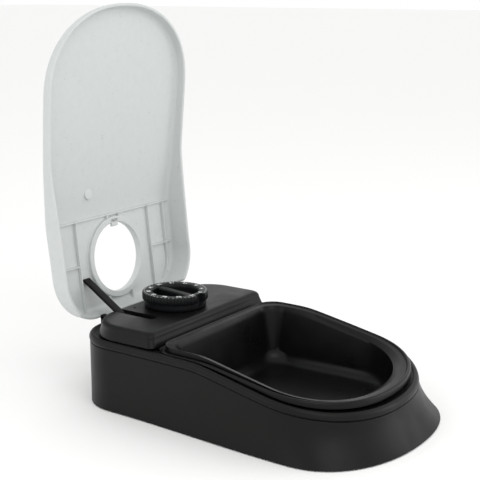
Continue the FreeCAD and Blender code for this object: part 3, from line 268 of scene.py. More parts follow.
def grid(rings, around=True):
    """Surface through rings of points: every ring is closed, and the last joins the first if around."""
    points = np.array(rings)
    rows, columns = points.shape[:2]
    number = np.arange(rows * columns).reshape(rows, columns)
    beyond = np.roll(number, -1, 1)
    if around:
        low, high = number, np.roll(number, -1, 0)
        low_beyond, high_beyond = beyond, np.roll(beyond, -1, 0)
    else:
        low, high, low_beyond, high_beyond = number[:-1], number[1:], beyond[:-1], beyond[1:]
    quads = np.stack([low, low_beyond, high_beyond, high], -1).reshape(-1, 4)
    return points.reshape(-1, 3), quads


def slab(outline, low, high, edge, axis=2):
    """Prism on a convex outline with rounded edges: rings up the side, closed to a point at both ends.

    The prism stands along the axis, 0 for X, 1 for Y and 2 for Z, and the outline holds the other two.
    """
    turn = np.linspace(0, math.pi / 2, 4)
    insets = np.concatenate([edge * (1 - np.sin(turn)), edge * (1 - np.cos(turn))])
    heights = np.concatenate([low + edge * (1 - np.cos(turn)), high - edge * (1 - np.sin(turn))])
    normal = inward(outline)
    centre = np.broadcast_to(outline.mean(0), outline.shape)
    rings = [ring(centre, low)]
    rings += [ring(outline + normal * inset, height) for inset, height in zip(insets, heights)]
    rings.append(ring(centre, high))
    points, quads = grid(rings, around=False)
    return np.roll(points, axis + 1, axis=1), quads


def rounded_rectangle(low, high, radius, count=8):
    """Closed rectangle with round corners, from its low and high corners."""
    turn = np.linspace(0, math.pi / 2, count)
    corners = []
    around = ((high[0], high[1]), (low[0], high[1]), (low[0], low[1]), (high[0], low[1]))
    for index, (x, y) in enumerate(around):
        angle = turn + index * math.pi / 2
        centre = (x + radius * (-1 if x == high[0] else 1), y + radius * (-1 if y == high[1] else 1))
        corners.append(np.stack([centre[0] + radius * np.cos(angle), centre[1] + radius * np.sin(angle)], 1))
    return np.vstack(corners)


def circle(centre, radius, count=48):
    """Closed circle in two of the axes."""
    angle = np.linspace(0, 2 * math.pi, count, endpoint=False)
    return np.stack([centre[0] + radius * np.cos(angle), centre[1] + radius * np.sin(angle)], 1)


def bar(low, high, edge):
    """Box with rounded edges, from its low and high corners."""
    return slab(rounded_rectangle(low[:2], high[:2], edge), low[2], high[2], edge)


def closed_mesh(name, surfaces):
    """Mesh from surfaces, with doubles merged and faces outward."""
    start = 0
    points, quads = [], []
    for surface_points, surface_quads in surfaces:
        points.append(surface_points)
        quads.append(surface_quads + start)
        start += len(surface_points)
    mesh = bpy.data.meshes.new(name)
    mesh.from_pydata(np.vstack(points), [], np.vstack(quads).tolist())
    tidy = bmesh.new()
    tidy.from_mesh(mesh)
    bmesh.ops.remove_doubles(tidy, verts=tidy.verts, dist=1e-7)
    bmesh.ops.dissolve_degenerate(tidy, edges=tidy.edges, dist=1e-8)
    bmesh.ops.recalc_face_normals(tidy, faces=tidy.faces)
    tidy.to_mesh(mesh)
    tidy.free()
    return mesh


def smooth(mesh, sharp=40):
    """Smooth shading, with edges sharper than an angle in degrees kept sharp."""
    mesh.polygons.foreach_set("use_smooth", np.ones(len(mesh.polygons), bool))
    mesh.set_sharp_from_angle(angle=math.radians(sharp))


def linked(name, data):
    """Object for a mesh, text, light or camera, linked to the scene."""
    thing = bpy.data.objects.new(name, data)
    bpy.context.scene.collection.objects.link(thing)
    return thing


def add_piece(name, surfaces, body, material, replaces=(), sharp=40):
    """Mesh object from surfaces that rides on a body and stands for the nodes it replaces."""
    mesh = closed_mesh(name, surfaces)
    smooth(mesh, sharp)
    piece = linked(name, mesh)
    mesh.materials.append(material)
    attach(piece, body)
    if replaces:
        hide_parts(*replaces)
    return piece


def evaluated_mesh(thing):
    """Mesh of an object as its modifiers or its text make it."""
    return bpy.data.meshes.new_from_object(thing.evaluated_get(bpy.context.evaluated_depsgraph_get()))


def cut(piece, surfaces):
    """Takes closed surfaces out of a piece."""
    for surface in surfaces:
        cutter = linked("cutter", closed_mesh("cutter", [surface]))
        step = piece.modifiers.new("cut", "BOOLEAN")
        step.operation = "DIFFERENCE"
        step.solver = "EXACT"
        step.object = cutter
        made = evaluated_mesh(piece)
        piece.modifiers.remove(step)
        piece.data = made
        bpy.data.objects.remove(cutter)
    smooth(piece.data)


# ------------------------------------------------------------------ base
def rim_plan():
    """Outline of the base's upright wall."""
    return plan(SHELL_HALF_WIDTH, NOSE_HALF_WIDTH, NOSE_START, NOSE_REACH, REAR_WALL, REAR_CORNER)


def foot_plan():
    """Outline of the base where it meets the floor."""
    reach = FOOT_NOSE_START - BASE_LOW.y
    return plan(SHELL_HALF_WIDTH, BASE_HIGH.x, FOOT_NOSE_START, reach, REAR_WALL, REAR_CORNER)


def base_surface(sizes):
    """Skirt, bead and ledge: a profile carried round the plan.

    The plan at height z is the upright outline plus the foot's flare times (1 - z / flare height) squared.
    The edge is a list of how far in and how far below the ledge each ring lies, in millimetres.
    """
    rim = rim_plan()
    spread = foot_plan() - rim
    normal = inward(rim)
    ledge = ledge_height(rim[:, 1], sizes.ledge_z)
    low = sizes.skirt_bottom

    def at(inset, height):
        flare = np.clip(1 - height / sizes.flare_height, 0, 1) ** 2
        return ring(rim + spread * np.broadcast_to(flare, len(rim))[:, None] + normal * inset, height)

    top = 6.4 * MM
    share = np.linspace(0, 1, 30)
    rings = [at(0, low + (ledge - top - low) * part) for part in share]
    deep, proud = sizes.groove / MM, -sizes.bead / MM
    groove = ((0, 6.0), (0.1, 5.8), (0.8 * deep, 5.65), (deep, 5.4), (0.8 * deep, 5.15), (0.1, 5.0))
    bead = ((0.2 * proud, 4.8), (0.7 * proud, 4.2), (proud, 3.2), (0.8 * proud, 2.2), (0.1 * proud, 1.2),
            (0.5, 0.5), (1.2, 0.12))
    shelf = ((2.0, 0), (2.8, 0.05), (3.2, 0.3), (3.4, 0.9), (4.2, 1.0), (8.6, 1.0), (9.1, 1.2), (9.2, 1.6),
             (9.2, 2.4), (8.9, 2.6), (3.4, 2.6), (2.7, 2.9), (2.4, 3.6))
    rings += [at(inset * MM, ledge - drop * MM) for inset, drop in groove + bead + shelf]
    rings += [at(sizes.wall, low + (ledge - top - low) * part) for part in share[::-1]]
    rings += [at(sizes.wall * part, low - 0.3 * MM * math.sin(math.pi * part)) for part in (0.8, 0.5, 0.2)]
    return grid(rings)


def hinge_ears():
    """Four ears on the rear ledge: a round top round the pin on a square foot."""
    surfaces = []
    thickness = 3
    for x in (22.7, 34.3, -25.7, -37.3):
        low, high = x * MM, (x + thickness) * MM
        top = circle((HINGE_Y, HINGE_Z), HINGE_RADIUS)
        foot = rounded_rectangle((HINGE_Y - HINGE_RADIUS, 49.5 * MM), (HINGE_Y + 2.1 * MM, HINGE_Z), 0.4 * MM)
        surfaces += [slab(top, low, high, SMALL_EDGE, 0), slab(foot, low, high, SMALL_EDGE, 0)]
    return surfaces


def base_pieces(settings, finishes):
    """The base's moulding, with the partition before the timer and the strip under the housing's front."""
    edge = 0.6 * MM
    strip = bar((-62 * MM, DECK_FRONT - 5.5 * MM, 49.1 * MM), (62 * MM, DECK_FRONT + 6 * MM, 51.2 * MM), edge)
    wall = bar((-70 * MM, DECK_FRONT + 1.6 * MM, 5.6 * MM), (70 * MM, DECK_FRONT + 4 * MM, 50 * MM), edge)
    add_piece("base_moulding", [base_surface(settings), strip, wall] + hinge_ears(), "base",
              finishes["black"], ["base_shell"])


# ------------------------------------------------------------------ bowl
def bowl_pieces(sizes, finishes):
    """Bowl: nested outlines whose inset and height follow the profile, from the floor over the lip and back.

    The wall leans in evenly from top to floor. The round under it has a radius of its own.
    """
    def outline(distance):
        return plan(sizes.half_width - distance, sizes.nose_half - distance, NOSE_START,
                    nose_reach - distance, DECK_FRONT - MM - distance, corner)

    nose_reach, corner = 56 * MM, 14 * MM
    top, floor, wall = 55.5 * MM, BOWL_FLOOR, 2.2 * MM
    whole_lean, foot_radius, shoulder = 9 * MM, 6 * MM, 5.5 * MM

    def lean(inset, height):
        return inset + whole_lean * (top - height) / (top - floor)

    def at(distance, height):
        flat = outline(distance)
        return ring(flat, height(flat[:, 1]) if callable(height) else height)

    def rim(drop):
        return lambda y: level(y, sizes.rim_z, 0.17, -46 * MM) - drop

    def ledge(rise):
        return lambda y: ledge_height(y) + rise

    def wall_ring(inset, share, low):
        """Ring on the leaning wall, at a share of the way up from low to the shoulder."""
        flat = outline(inset)
        height = low + (ledge(0)(flat[:, 1]) - low) * share
        return ring(flat + inward(flat) * lean(0, height)[:, None], height)

    radius, inner = sizes.floor_radius, 7.7 * MM
    outer_floor = at(lean(shoulder, floor) + foot_radius, floor)
    centre = np.broadcast_to(outer_floor.mean(0), outer_floor.shape)
    rings = [centre] + between(centre, outer_floor, 5) + [outer_floor]
    rings += [at(lean(shoulder, floor) + foot_radius * (1 - math.sin(part)),
                 floor + foot_radius * (1 - math.cos(part))) for part in QUARTER[1:]]
    rings += [wall_ring(shoulder, part, floor + foot_radius) for part in np.linspace(0, 1, 12)[1:]]
    rings += [at(5.0 * MM, ledge(0.2 * MM)), at(0.3 * MM, ledge(0.2 * MM)), at(0, ledge(0.5 * MM))]
    rings += between(rings[-1], at(0, rim(1.3 * MM)), 5)
    half = sizes.lip_wall / 2
    crown = np.linspace(0, math.pi, 11)
    rings += [at(half * (1 - math.cos(part)), rim(half * (1 - math.sin(part)))) for part in crown]
    rings += between(rings[-1], at(sizes.lip_wall, ledge(4.2 * MM)), 4)
    rings += [at(sizes.lip_wall, ledge(4.2 * MM)), at(sizes.lip_wall + 0.35 * MM, ledge(3.35 * MM)),
              at(sizes.lip_wall + 1.2 * MM, ledge(3 * MM)), at(inner - 1.1 * MM, ledge(3 * MM)),
              at(inner - 0.3 * MM, ledge(2.7 * MM))]
    inside_floor = floor + wall
    rings += [wall_ring(inner, part, inside_floor + radius) for part in np.linspace(1, 0, 14)]
    rings += [at(lean(inner, inside_floor + radius) + radius * (1 - math.cos(part)),
                 inside_floor + radius * (1 - math.sin(part))) for part in QUARTER[1:]]
    middle = np.broadcast_to(rings[-1].mean(0), outer_floor.shape)
    rings += between(rings[-1], middle, 5) + [middle]
    add_piece("food_bowl", [grid(rings, around=False)], "bowl", finishes["bowl"], ["bowl"])


# ------------------------------------------------------------------ timer housing
def deck_pieces(sizes, finishes):
    """Timer housing: a drafted wall with a round top edge, carried round a plan with large rear corners."""
    half, front, rear = DECK_HIGH.x, DECK_FRONT, DECK_HIGH.y
    bottom, top = DECK_LOW.z, DECK_HIGH.z

    def at(distance, height):
        turn = np.linspace(0, math.pi / 2, 30)
        small, large = 5 * MM, max(sizes.rear_radius - distance, 12 * MM)
        edge, back = half - distance, rear - distance
        across = np.concatenate([[0], edge - large + large * np.sin(turn),
                                 edge - small + small * np.cos(turn), [0]])
        along = np.concatenate([[back], back - large + large * np.cos(turn),
                                front + distance + small - small * np.sin(turn), [front + distance]])
        right = np.stack([across, along], 1)
        return ring(spaced(np.vstack([right, right[-2:0:-1] * (-1, 1)]), PLAN_POINTS), height)

    radius, wall = sizes.edge_radius, sizes.wall
    shoulder = top - radius
    rise = sizes.draft * (shoulder - bottom) / (top - bottom)
    outside = [at(0.6 * MM, bottom), at(0.1 * MM, bottom + 0.5 * MM)]
    outside += between(outside[-1], at(rise, shoulder), 4)
    outside += [at(rise + radius * (1 - math.cos(part)), shoulder + radius * math.sin(part))
                for part in QUARTER]
    centre = np.broadcast_to((0, (front + rear) / 2, top), outside[-1].shape)
    inner_radius = radius - 2 * MM
    under = top - wall
    inside = [at(rise + wall + inner_radius * (1 - math.cos(part)), under - inner_radius * (1 - math.sin(part)))
              for part in QUARTER[::-1]]
    inside.append(at(wall, bottom + 0.3 * MM))
    below = centre - (0, 0, wall)
    rings = [centre] + between(centre, outside[-1], 8) + outside[::-1] + inside[::-1]
    rings += between(rings[-1], below, 8) + [below]
    reach, thickness = 3 * MM, 1.5
    brackets = [bar((x * MM, ARM_Y - reach, ARM_Z - reach),
                    ((x + thickness) * MM, ARM_Y + reach, under + 0.4 * MM), SMALL_EDGE)
                for x in (-46.05, -32.45)]
    deck = add_piece("timer_housing", [grid(rings, around=False)], "base", finishes["black"],
                     ["deck_cover"])
    half_slot = (ARM_HIGH.x - ARM_LOW.x) / 2 + sizes.slot_margin
    slot_outline = rounded_rectangle((ARM_X - half_slot, ARM_Y - 27 * MM), (ARM_X + half_slot, rear + 20 * MM),
                                     1.5 * MM)
    slot = slab(slot_outline, ARM_Z + 0.8 * MM, top + 10 * MM, SMALL_EDGE)
    dimple = slab(circle((-24.5 * MM, DECK_FRONT + 52.5 * MM), 1.1 * MM, 24), top - MM, top + 5 * MM, 0.1 * MM)
    bore = slab(circle((0, DIAL_Y), 3 * MM), under - 3 * MM, top + 3 * MM, 0.1 * MM)
    cut(deck, [slot, dimple, bore])
    add_piece("arm_brackets", brackets, "base", finishes["black"])


# ------------------------------------------------------------------ lid
def opened(surface):
    """The surface turned from the lid's closed place to its open one, about the hinge."""
    points, quads = surface
    turn = Matrix.Rotation(-OPEN_ANGLE, 3, "X")
    pivot = np.array((0, HINGE_Y, HINGE_Z))
    return (points - pivot) @ np.array(turn).T + pivot, quads


def under_plate(y, sizes):
    """Height of the plate's inside, lid closed."""
    return level(y, sizes.plate_z, PLATE_SLOPE, 0)


def rib(path, width, height, sizes):
    """Ridge on the plate's inside along a path in plan: a rounded section, closed to a point at both ends.

    The section gives the share of the width across, and a height that is millimetres above the plate's inside
    or a share of the rib's height below it.
    """
    tangent = np.gradient(path, axis=0)
    side = np.stack([tangent[:, 1], -tangent[:, 0]], 1) / np.hypot(*tangent.T)[:, None]
    section = np.array([(-0.5, 0.8), (-0.5, 0.5), (-0.47, -0.7), (-0.3, -1), (0.3, -1), (0.47, -0.7),
                        (0.5, 0.5), (0.5, 0.8)])
    base = under_plate(path[:, 1], sizes)
    rows = []
    for along, across, foot in zip(path, side, base):
        flat = along + section[:, :1] * width * across
        rise = np.where(section[:, 1] > 0, section[:, 1] * MM, section[:, 1] * height)
        rows.append(ring(flat, foot + rise))
    first, last = (np.broadcast_to(row.mean(0), row.shape) for row in (rows[0], rows[-1]))
    return grid([first] + rows + [last], around=False)


def lid_shell(sizes):
    """Lid: a section carried round the plan, from the skirt's free edge over the plate to the hole and back.

    The skirt leans in by a quarter of its height. The plate's rings go straight from the skirt's outline to the
    hole's circle, and their height follows the plate's bend. The hole's drops are from the plate's inside.
    """
    lean, plate_count = 0.25, 44
    outline = plan(SHELL_HALF_WIDTH, NOSE_HALF_WIDTH, NOSE_START, NOSE_REACH, DECK_FRONT + 75 * MM, 36 * MM)
    normal = inward(outline)
    seat = ledge_height(outline[:, 1])
    lift = eased((outline[:, 1] - (HINGE_Y - 7 * MM)) / (4 * MM))
    free = seat + 0.5 * MM + lift * (HINGE_Z + 3.9 * MM - seat)
    spoke = outline - (0, DIAL_Y)
    spoke /= np.hypot(*spoke.T)[:, None]

    def height(flat, drop):
        return under_plate(flat[:, 1], sizes) + drop

    def skirt(inset, base, rise):
        return ring(outline + normal * (inset + lean * (base + rise - seat))[:, None], base + rise)

    def turned(inset, radius, part, drop):
        """Ring on the round between skirt and plate, at an angle from the skirt."""
        start = under_plate(outline[:, 1], sizes) - seat
        flat = outline + normal * (inset + lean * (start - radius) + radius * (1 - math.cos(part)))[:, None]
        return ring(flat, height(flat, drop - radius * (1 - math.sin(part))))

    def round_hole(radius, drop):
        flat = (0, DIAL_Y) + spoke * radius
        return ring(flat, height(flat, drop))

    def plate_rings(first, last, drop):
        return [ring(row[:, :2], height(row[:, :2], drop)) for row in between(first, last, plate_count)]

    wall, plate, radius, hole = sizes.wall, sizes.plate, sizes.edge_radius, sizes.hole_radius
    rings = [skirt(wall, free, 0.6 * MM), skirt(wall * 0.8, free, 0.1 * MM), skirt(wall * 0.5, free, 0),
             skirt(wall * 0.2, free, 0.1 * MM), skirt(0, free, 0.6 * MM)]
    outer_round = [turned(0, radius, part, plate) for part in QUARTER]
    rings += between(rings[-1], outer_round[0], 8) + outer_round
    edge = round_hole(hole + 0.9 * MM, plate)
    rings += plate_rings(outer_round[-1], edge, plate) + [edge, round_hole(hole + 0.25 * MM, plate - 0.25 * MM)]
    rings.append(round_hole(hole, plate - 0.9 * MM))
    collar = ((0, 0), (0, -2.6), (0.4, -3), (4.1, -3), (4.5, -2.6), (4.6, -0.6), (5.4, 0))
    rings += [round_hole(hole + out * MM, drop * MM) for out, drop in collar]
    small = radius - 2.2 * MM
    inner_round = [turned(wall, small, part, 0) for part in QUARTER[::-1]]
    rings += plate_rings(rings[-1], inner_round[0], 0) + inner_round
    rings += between(rings[-1], rings[0], 8)
    return grid(rings)


def lid_pieces(sizes, finishes):
    """Lid with its ribs, hinge barrels and latch tab, all modelled closed and turned open."""
    tall = sizes.rib_height
    surfaces = [lid_shell(sizes)]

    def straight(start, end, width, height=tall):
        """Adds a straight rib between two places in plan."""
        first, last = np.array((start, end))
        surfaces.append(rib(first + (last - first) * np.linspace(0, 1, 40)[:, None], width, height, sizes))

    for side in (-1, 1):
        for spot, rear in ((41.4, 68), (60.2, 44)):
            x = side * spot * MM
            straight((x, DECK_FRONT + 0.5 * MM), (x, DECK_FRONT + rear * MM), 1.3 * MM)
        corner = circle((side * 34.2 * MM, DECK_FRONT + 44 * MM), 26 * MM, 160)
        quarter = corner[:40] if side > 0 else corner[40:80]
        surfaces.append(rib(quarter, 1.2 * MM, 0.8 * tall, sizes))
        straight((side * 42 * MM, DIAL_Y), (side * 66 * MM, DIAL_Y), 1.2 * MM)
        straight((side * 6.5 * MM, DECK_FRONT + 0.8 * MM), (side * 6.5 * MM, DECK_FRONT + 6.2 * MM), 1.4 * MM)
    step = DECK_FRONT + 0.8 * MM
    straight((-67 * MM, step), (67 * MM, step), 1.6 * MM, 0.6 * tall)
    pad = DECK_FRONT + 62 * MM
    for x in (-13 * MM, 13 * MM):
        straight((x, pad), (x, pad + 8 * MM), 1.3 * MM)
    straight((-13.5 * MM, pad), (13.5 * MM, pad), 1.3 * MM)
    mark = DECK_FRONT - 18 * MM
    mark_z = under_plate(mark, sizes)
    surfaces.append(slab(circle((-26 * MM, mark), 4 * MM), mark_z - 0.9 * MM, mark_z + 1.5 * MM, SMALL_EDGE))
    hole_front = DIAL_Y - sizes.hole_radius
    for reach, top in ((0, 69.5), (3, 67.0)):
        surfaces.append(bar((-3.5 * MM, hole_front - 3.2 * MM, 65.0 * MM),
                            (3.5 * MM, hole_front + reach * MM, top * MM), 0.5 * MM))
    for side in (-1, 1):
        low, high = sorted((side * 26 * MM, side * 34 * MM))
        surfaces.append(slab(circle((HINGE_Y, HINGE_Z), HINGE_RADIUS), low, high, SMALL_EDGE, 0))
        web = rounded_rectangle((HINGE_Y - 2.4 * MM, HINGE_Z), (HINGE_Y + 0.5 * MM, 69.5 * MM), 0.5 * MM)
        surfaces.append(slab(web, low, high, SMALL_EDGE, 0))
    add_piece("speckled_lid", [opened(surface) for surface in surfaces], "lid",
              finishes["lid"], ["lid"])


# ------------------------------------------------------------------ dial
def dial_pieces(sizes, finishes):
    """Dial: a profile turned about its axis. The band's radius dips at each flute, and steps in at the notch.

    The profile gives radius, height and the share of the flutes' depth that the ring takes.
    """
    bottom, top = DIAL_LOW.z, DIAL_HIGH.z
    outer = DIAL_HIGH.x
    band, collar, recess = top - 5.8 * MM, outer - 1.4 * MM, sizes.recess_radius
    floor, notch_radius = top - 7.2 * MM, 20.9 * MM
    angle = np.linspace(0, 2 * math.pi, 12 * sizes.flutes, endpoint=False)
    dip = sizes.flute * (0.5 + 0.5 * np.cos(sizes.flutes * angle)) ** 3
    aside = np.abs((angle - 1.5 * math.pi + math.pi) % (2 * math.pi) - math.pi) * outer
    notch = 1 - eased((aside - 4.1 * MM) / (0.35 * MM))
    profile = [(0, bottom, 0), (6 * MM, bottom, 0), (collar - 0.5 * MM, bottom, 0),
               (collar, bottom + 0.5 * MM, 0), (collar, band - 2.9 * MM, 0), (collar, band - 2.7 * MM, 0),
               (collar, band - 0.3 * MM, 0), (outer - 0.5 * MM, band, 0.3), (outer, band + 0.5 * MM, 1),
               (outer, band + 2.5 * MM, 1), (outer, top - 1.0 * MM, 1),
               (outer - 0.2 * MM, top - 0.45 * MM, 0.8), (outer - 0.8 * MM, top, 0.2),
               (outer - 1.4 * MM, top, 0), (outer - 2.6 * MM, top, 0),
               (21.2 * MM, top, 0), (20.8 * MM, top, 0), (recess + 1.2 * MM, top, 0),
               (recess + 0.5 * MM, top - 0.2 * MM, 0), (recess, top - 0.8 * MM, 0), (recess, top - 4 * MM, 0),
               (recess, top - 6.6 * MM, 0), (recess - 0.6 * MM, floor, 0), (8 * MM, floor, 0), (0, floor, 0)]
    rings = []
    for radius, height, share in profile:
        reach = radius - dip * share
        if height > band - 2.8 * MM:
            reach = np.where(reach > notch_radius, reach + (notch_radius - reach) * notch, reach)
        rings.append(ring(np.stack([reach * np.cos(angle), DIAL_Y + reach * np.sin(angle)], 1), height))
    add_piece("hour_dial", [grid(rings, around=False)], "dial", finishes["dial"], ["dial"],
              sharp=50)

    def placed(surface, direction):
        """The surface turned about the dial's axis and moved to it."""
        points, quads = surface
        return points @ np.array(Matrix.Rotation(direction, 3, "Z")).T + (0, DIAL_Y, 0), quads

    grip = rounded_rectangle((-recess - 0.4 * MM, -3 * MM), (recess + 0.4 * MM, 3 * MM), 1 * MM)
    grip = slab(grip, top - 7.6 * MM, top - 0.8 * MM, 0.9 * MM)
    add_piece("dial_grip", [placed(grip, sizes.grip_angle)], "dial", finishes["dial"])
    tick = bar((22.4 * MM, -0.22 * MM, top - 0.1 * MM), (23.3 * MM, 0.22 * MM, top + 0.06 * MM), 0.05 * MM)
    hour_step, notch_direction, clear_of_notch = 7.5, 270, 12
    directions = [hour_step * hour + hour_step / 2 for hour in range(48)]
    ticks = [placed(tick, math.radians(direction)) for direction in directions
             if abs((direction - notch_direction + 180) % 360 - 180) > clear_of_notch]
    add_piece("dial_ticks", ticks, "dial", finishes["print"])
    for index in range(12):
        add_figure(str(4 * index), math.radians(-75 + 30 * index), top, sizes, finishes)


def add_figure(text, angle, top, sizes, finishes):
    """One hour figure on the dial's face, standing toward the middle."""
    words = bpy.data.curves.new("figure", "FONT")
    words.body = text
    words.size = sizes.numeral
    words.align_x = "CENTER"
    words.align_y = "CENTER"
    words.extrude = 0.08 * MM
    words.resolution_u = 3
    holder = linked("figure", words)
    mesh = evaluated_mesh(holder)
    bpy.data.objects.remove(holder)
    radius = 19.9 * MM
    place = Matrix.Translation((radius * math.cos(angle), DIAL_Y + radius * math.sin(angle), top))
    mesh.transform(place @ Matrix.Rotation(angle + math.pi / 2, 4, "Z"))
    tidy = bmesh.new()
    tidy.from_mesh(mesh)
    bmesh.ops.remove_doubles(tidy, verts=tidy.verts, dist=1e-7)
    tidy.to_mesh(mesh)
    tidy.free()
    piece = linked("dial_figure_" + text, mesh)
    mesh.materials.clear()
    mesh.materials.append(finishes["print"])
    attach(piece, "dial")


# ------------------------------------------------------------------ lift arm
def arm_pieces(finishes):
    """Lift arm: a stadium-shaped blade and a round hub, both rounded slabs across the feeder."""
    half = 1.1 * MM
    run = np.array((ARM_HIGH.y - half - ARM_Y, ARM_HIGH.z - half - ARM_Z))
    length = np.hypot(*run)
    flat = rounded_rectangle((-half, -half), (length + half, half), 1.05 * MM)
    turn = np.array(((run[0], run[1]), (-run[1], run[0]))) / length
    blade = flat @ turn + (ARM_Y, ARM_Z)
    low, high = ARM_LOW.x, ARM_HIGH.x
    hub = circle((ARM_Y, ARM_Z), 2.5 * MM)
    surfaces = [slab(blade, low, high, 0.45 * MM, 0), slab(hub, low, high, 0.4 * MM, 0)]
    add_piece("lift_blade", surfaces, "lift_arm", finishes["black"], ["lift_arm"])


# ------------------------------------------------------------------ finishes
def add_node(tree, kind, settings, links):
    """Node of a kind with its settings, whose inputs take the links given as {input: (node, output)}."""
    node = tree.nodes.new(kind)
    for name, value in settings.items():
        if name in node.inputs:
            node.inputs[name].default_value = value
        else:
            setattr(node, name, value)
    for name, (source, output) in links.items():
        tree.links.new(source.outputs[output], node.inputs[name])
    return node


def new_material(name, **settings):
    """Material with a Principled shader. Settings use the shader's own socket names, with _ for a space."""
    material = bpy.data.materials.new(name)
    material.use_nodes = True
    shader = material.node_tree.nodes["Principled BSDF"]
    for socket, value in settings.items():
        shader.inputs[socket.replace("_", " ")].default_value = value
    material.diffuse_color = shader.inputs["Base Color"].default_value
    return material, material.node_tree, shader


def moulded_grain(tree, shader, pitch, depth, low, high):
    """Fine spark-eroded grain: a bump of the given pitch, and roughness that wanders between low and high."""
    place = add_node(tree, "ShaderNodeTexCoord", {}, {})
    grain = add_node(tree, "ShaderNodeTexNoise", {"Scale": 1 / pitch, "Detail": 3.0, "Roughness": 0.6},
                     {"Vector": (place, "Object")})
    bump = add_node(tree, "ShaderNodeBump", {"Strength": 0.35, "Distance": depth}, {"Height": (grain, "Fac")})
    tree.links.new(bump.outputs["Normal"], shader.inputs["Normal"])
    cloud = add_node(tree, "ShaderNodeTexNoise", {"Scale": 1 / (18 * MM), "Detail": 4.0},
                     {"Vector": (place, "Object")})
    gloss = add_node(tree, "ShaderNodeMapRange",
                     {"To Min": low, "To Max": high, "From Min": 0.3, "From Max": 0.7},
                     {"Value": (cloud, "Fac")})
    tree.links.new(gloss.outputs["Result"], shader.inputs["Roughness"])
    return place, cloud


def black_abs(name, colour_value, low, high):
    """Moulded black ABS: a dense satin black whose fine grain softens highlights into a grey sheen."""
    material, tree, shader = new_material(name, Base_Color=(*colour_value, 1), IOR=1.53,
                                          Specular_IOR_Level=0.16)
    cloud = moulded_grain(tree, shader, 0.35 * MM, 0.05 * MM, low, high)[1]
    tint = add_node(tree, "ShaderNodeMixRGB", {"Color1": (*[part * 0.85 for part in colour_value], 1),
                                               "Color2": (*[part * 1.2 for part in colour_value], 1)},
                    {"Fac": (cloud, "Fac")})
    tree.links.new(tint.outputs["Color"], shader.inputs["Base Color"])
    return material


def speckled_polypropylene(finish):
    """Recycled white polypropylene: slightly cloudy and waxy, with specks under a millimetre across."""
    material, tree, shader = new_material("speckled_polypropylene", Base_Color=(*finish.lid, 1), IOR=1.49,
                                          Subsurface_Weight=0.12, Subsurface_Scale=2 * MM,
                                          Subsurface_Radius=(1.0, 1.0, 0.9))
    place = moulded_grain(tree, shader, 0.5 * MM, 0.04 * MM, 0.36, 0.5)[0]
    specks = add_node(tree, "ShaderNodeTexVoronoi", {"Scale": 1 / (3.2 * MM)}, {"Vector": (place, "Object")})
    near = add_node(tree, "ShaderNodeMapRange",
                    {"From Min": 0.1, "From Max": 0.24, "To Min": 1.0, "To Max": 0.0},
                    {"Value": (specks, "Distance")})
    drift = add_node(tree, "ShaderNodeTexNoise", {"Scale": 1 / (5 * MM), "Detail": 5.0, "Roughness": 0.7},
                     {"Vector": (place, "Object")})
    patch = add_node(tree, "ShaderNodeMapRange", {"From Min": 0.5, "From Max": 0.72},
                     {"Value": (drift, "Fac")})
    both = add_node(tree, "ShaderNodeMath", {"operation": "MULTIPLY"}, {})
    tree.links.new(near.outputs["Result"], both.inputs[0])
    tree.links.new(patch.outputs["Result"], both.inputs[1])
    marble = add_node(tree, "ShaderNodeMixRGB", {"Color1": (*finish.lid, 1),
                                                 "Color2": (*[part * 0.9 for part in finish.lid], 1)},
                      {"Fac": (drift, "Fac")})
    mixed = add_node(tree, "ShaderNodeMixRGB", {"Color2": (*finish.speck, 1)},
                     {"Fac": (both, "Value"), "Color1": (marble, "Color")})
    tree.links.new(mixed.outputs["Color"], shader.inputs["Base Color"])
    return material


def printed_ink(finish):
    """Pad-printed white ink: flat, a little chalky."""
    material, tree, shader = new_material("printed_ink", Base_Color=(*finish.print, 1), IOR=1.5)
    moulded_grain(tree, shader, 0.2 * MM, 0.01 * MM, 0.5, 0.65)
    return material


def plain_metal(name, hexadecimal, low, high, grain):
    """Plated or drawn metal: an even tint, fine streaks in its roughness."""
    material, tree, shader = new_material(name, Base_Color=(*linear(hexadecimal), 1), Metallic=1.0)
    moulded_grain(tree, shader, grain, 0.01 * MM, low, high)
    return material


def plain_polymer(name, hexadecimal, low, high, grain):
    """Small moulding, rubber or sleeve in one colour, with its own grain."""
    material, tree, shader = new_material(name, Base_Color=(*linear(hexadecimal), 1), IOR=1.5)
    moulded_grain(tree, shader, grain, 0.03 * MM, low, high)
    return material


def wound_copper():
    """Enamelled copper winding: a warm ribbed shine, from turns a quarter of a millimetre apart along X."""
    material, tree, shader = new_material("wound_copper", Base_Color=(*linear("#b3622e"), 1), Metallic=1.0,
                                          Roughness=0.3)
    place = add_node(tree, "ShaderNodeTexCoord", {}, {})
    turns = add_node(tree, "ShaderNodeTexWave", {"Scale": 0.25 / (0.25 * MM), "bands_direction": "X"},
                     {"Vector": (place, "Object")})
    bump = add_node(tree, "ShaderNodeBump", {"Strength": 0.8, "Distance": 0.1 * MM},
                    {"Height": (turns, "Fac")})
    tree.links.new(bump.outputs["Normal"], shader.inputs["Normal"])
    return material


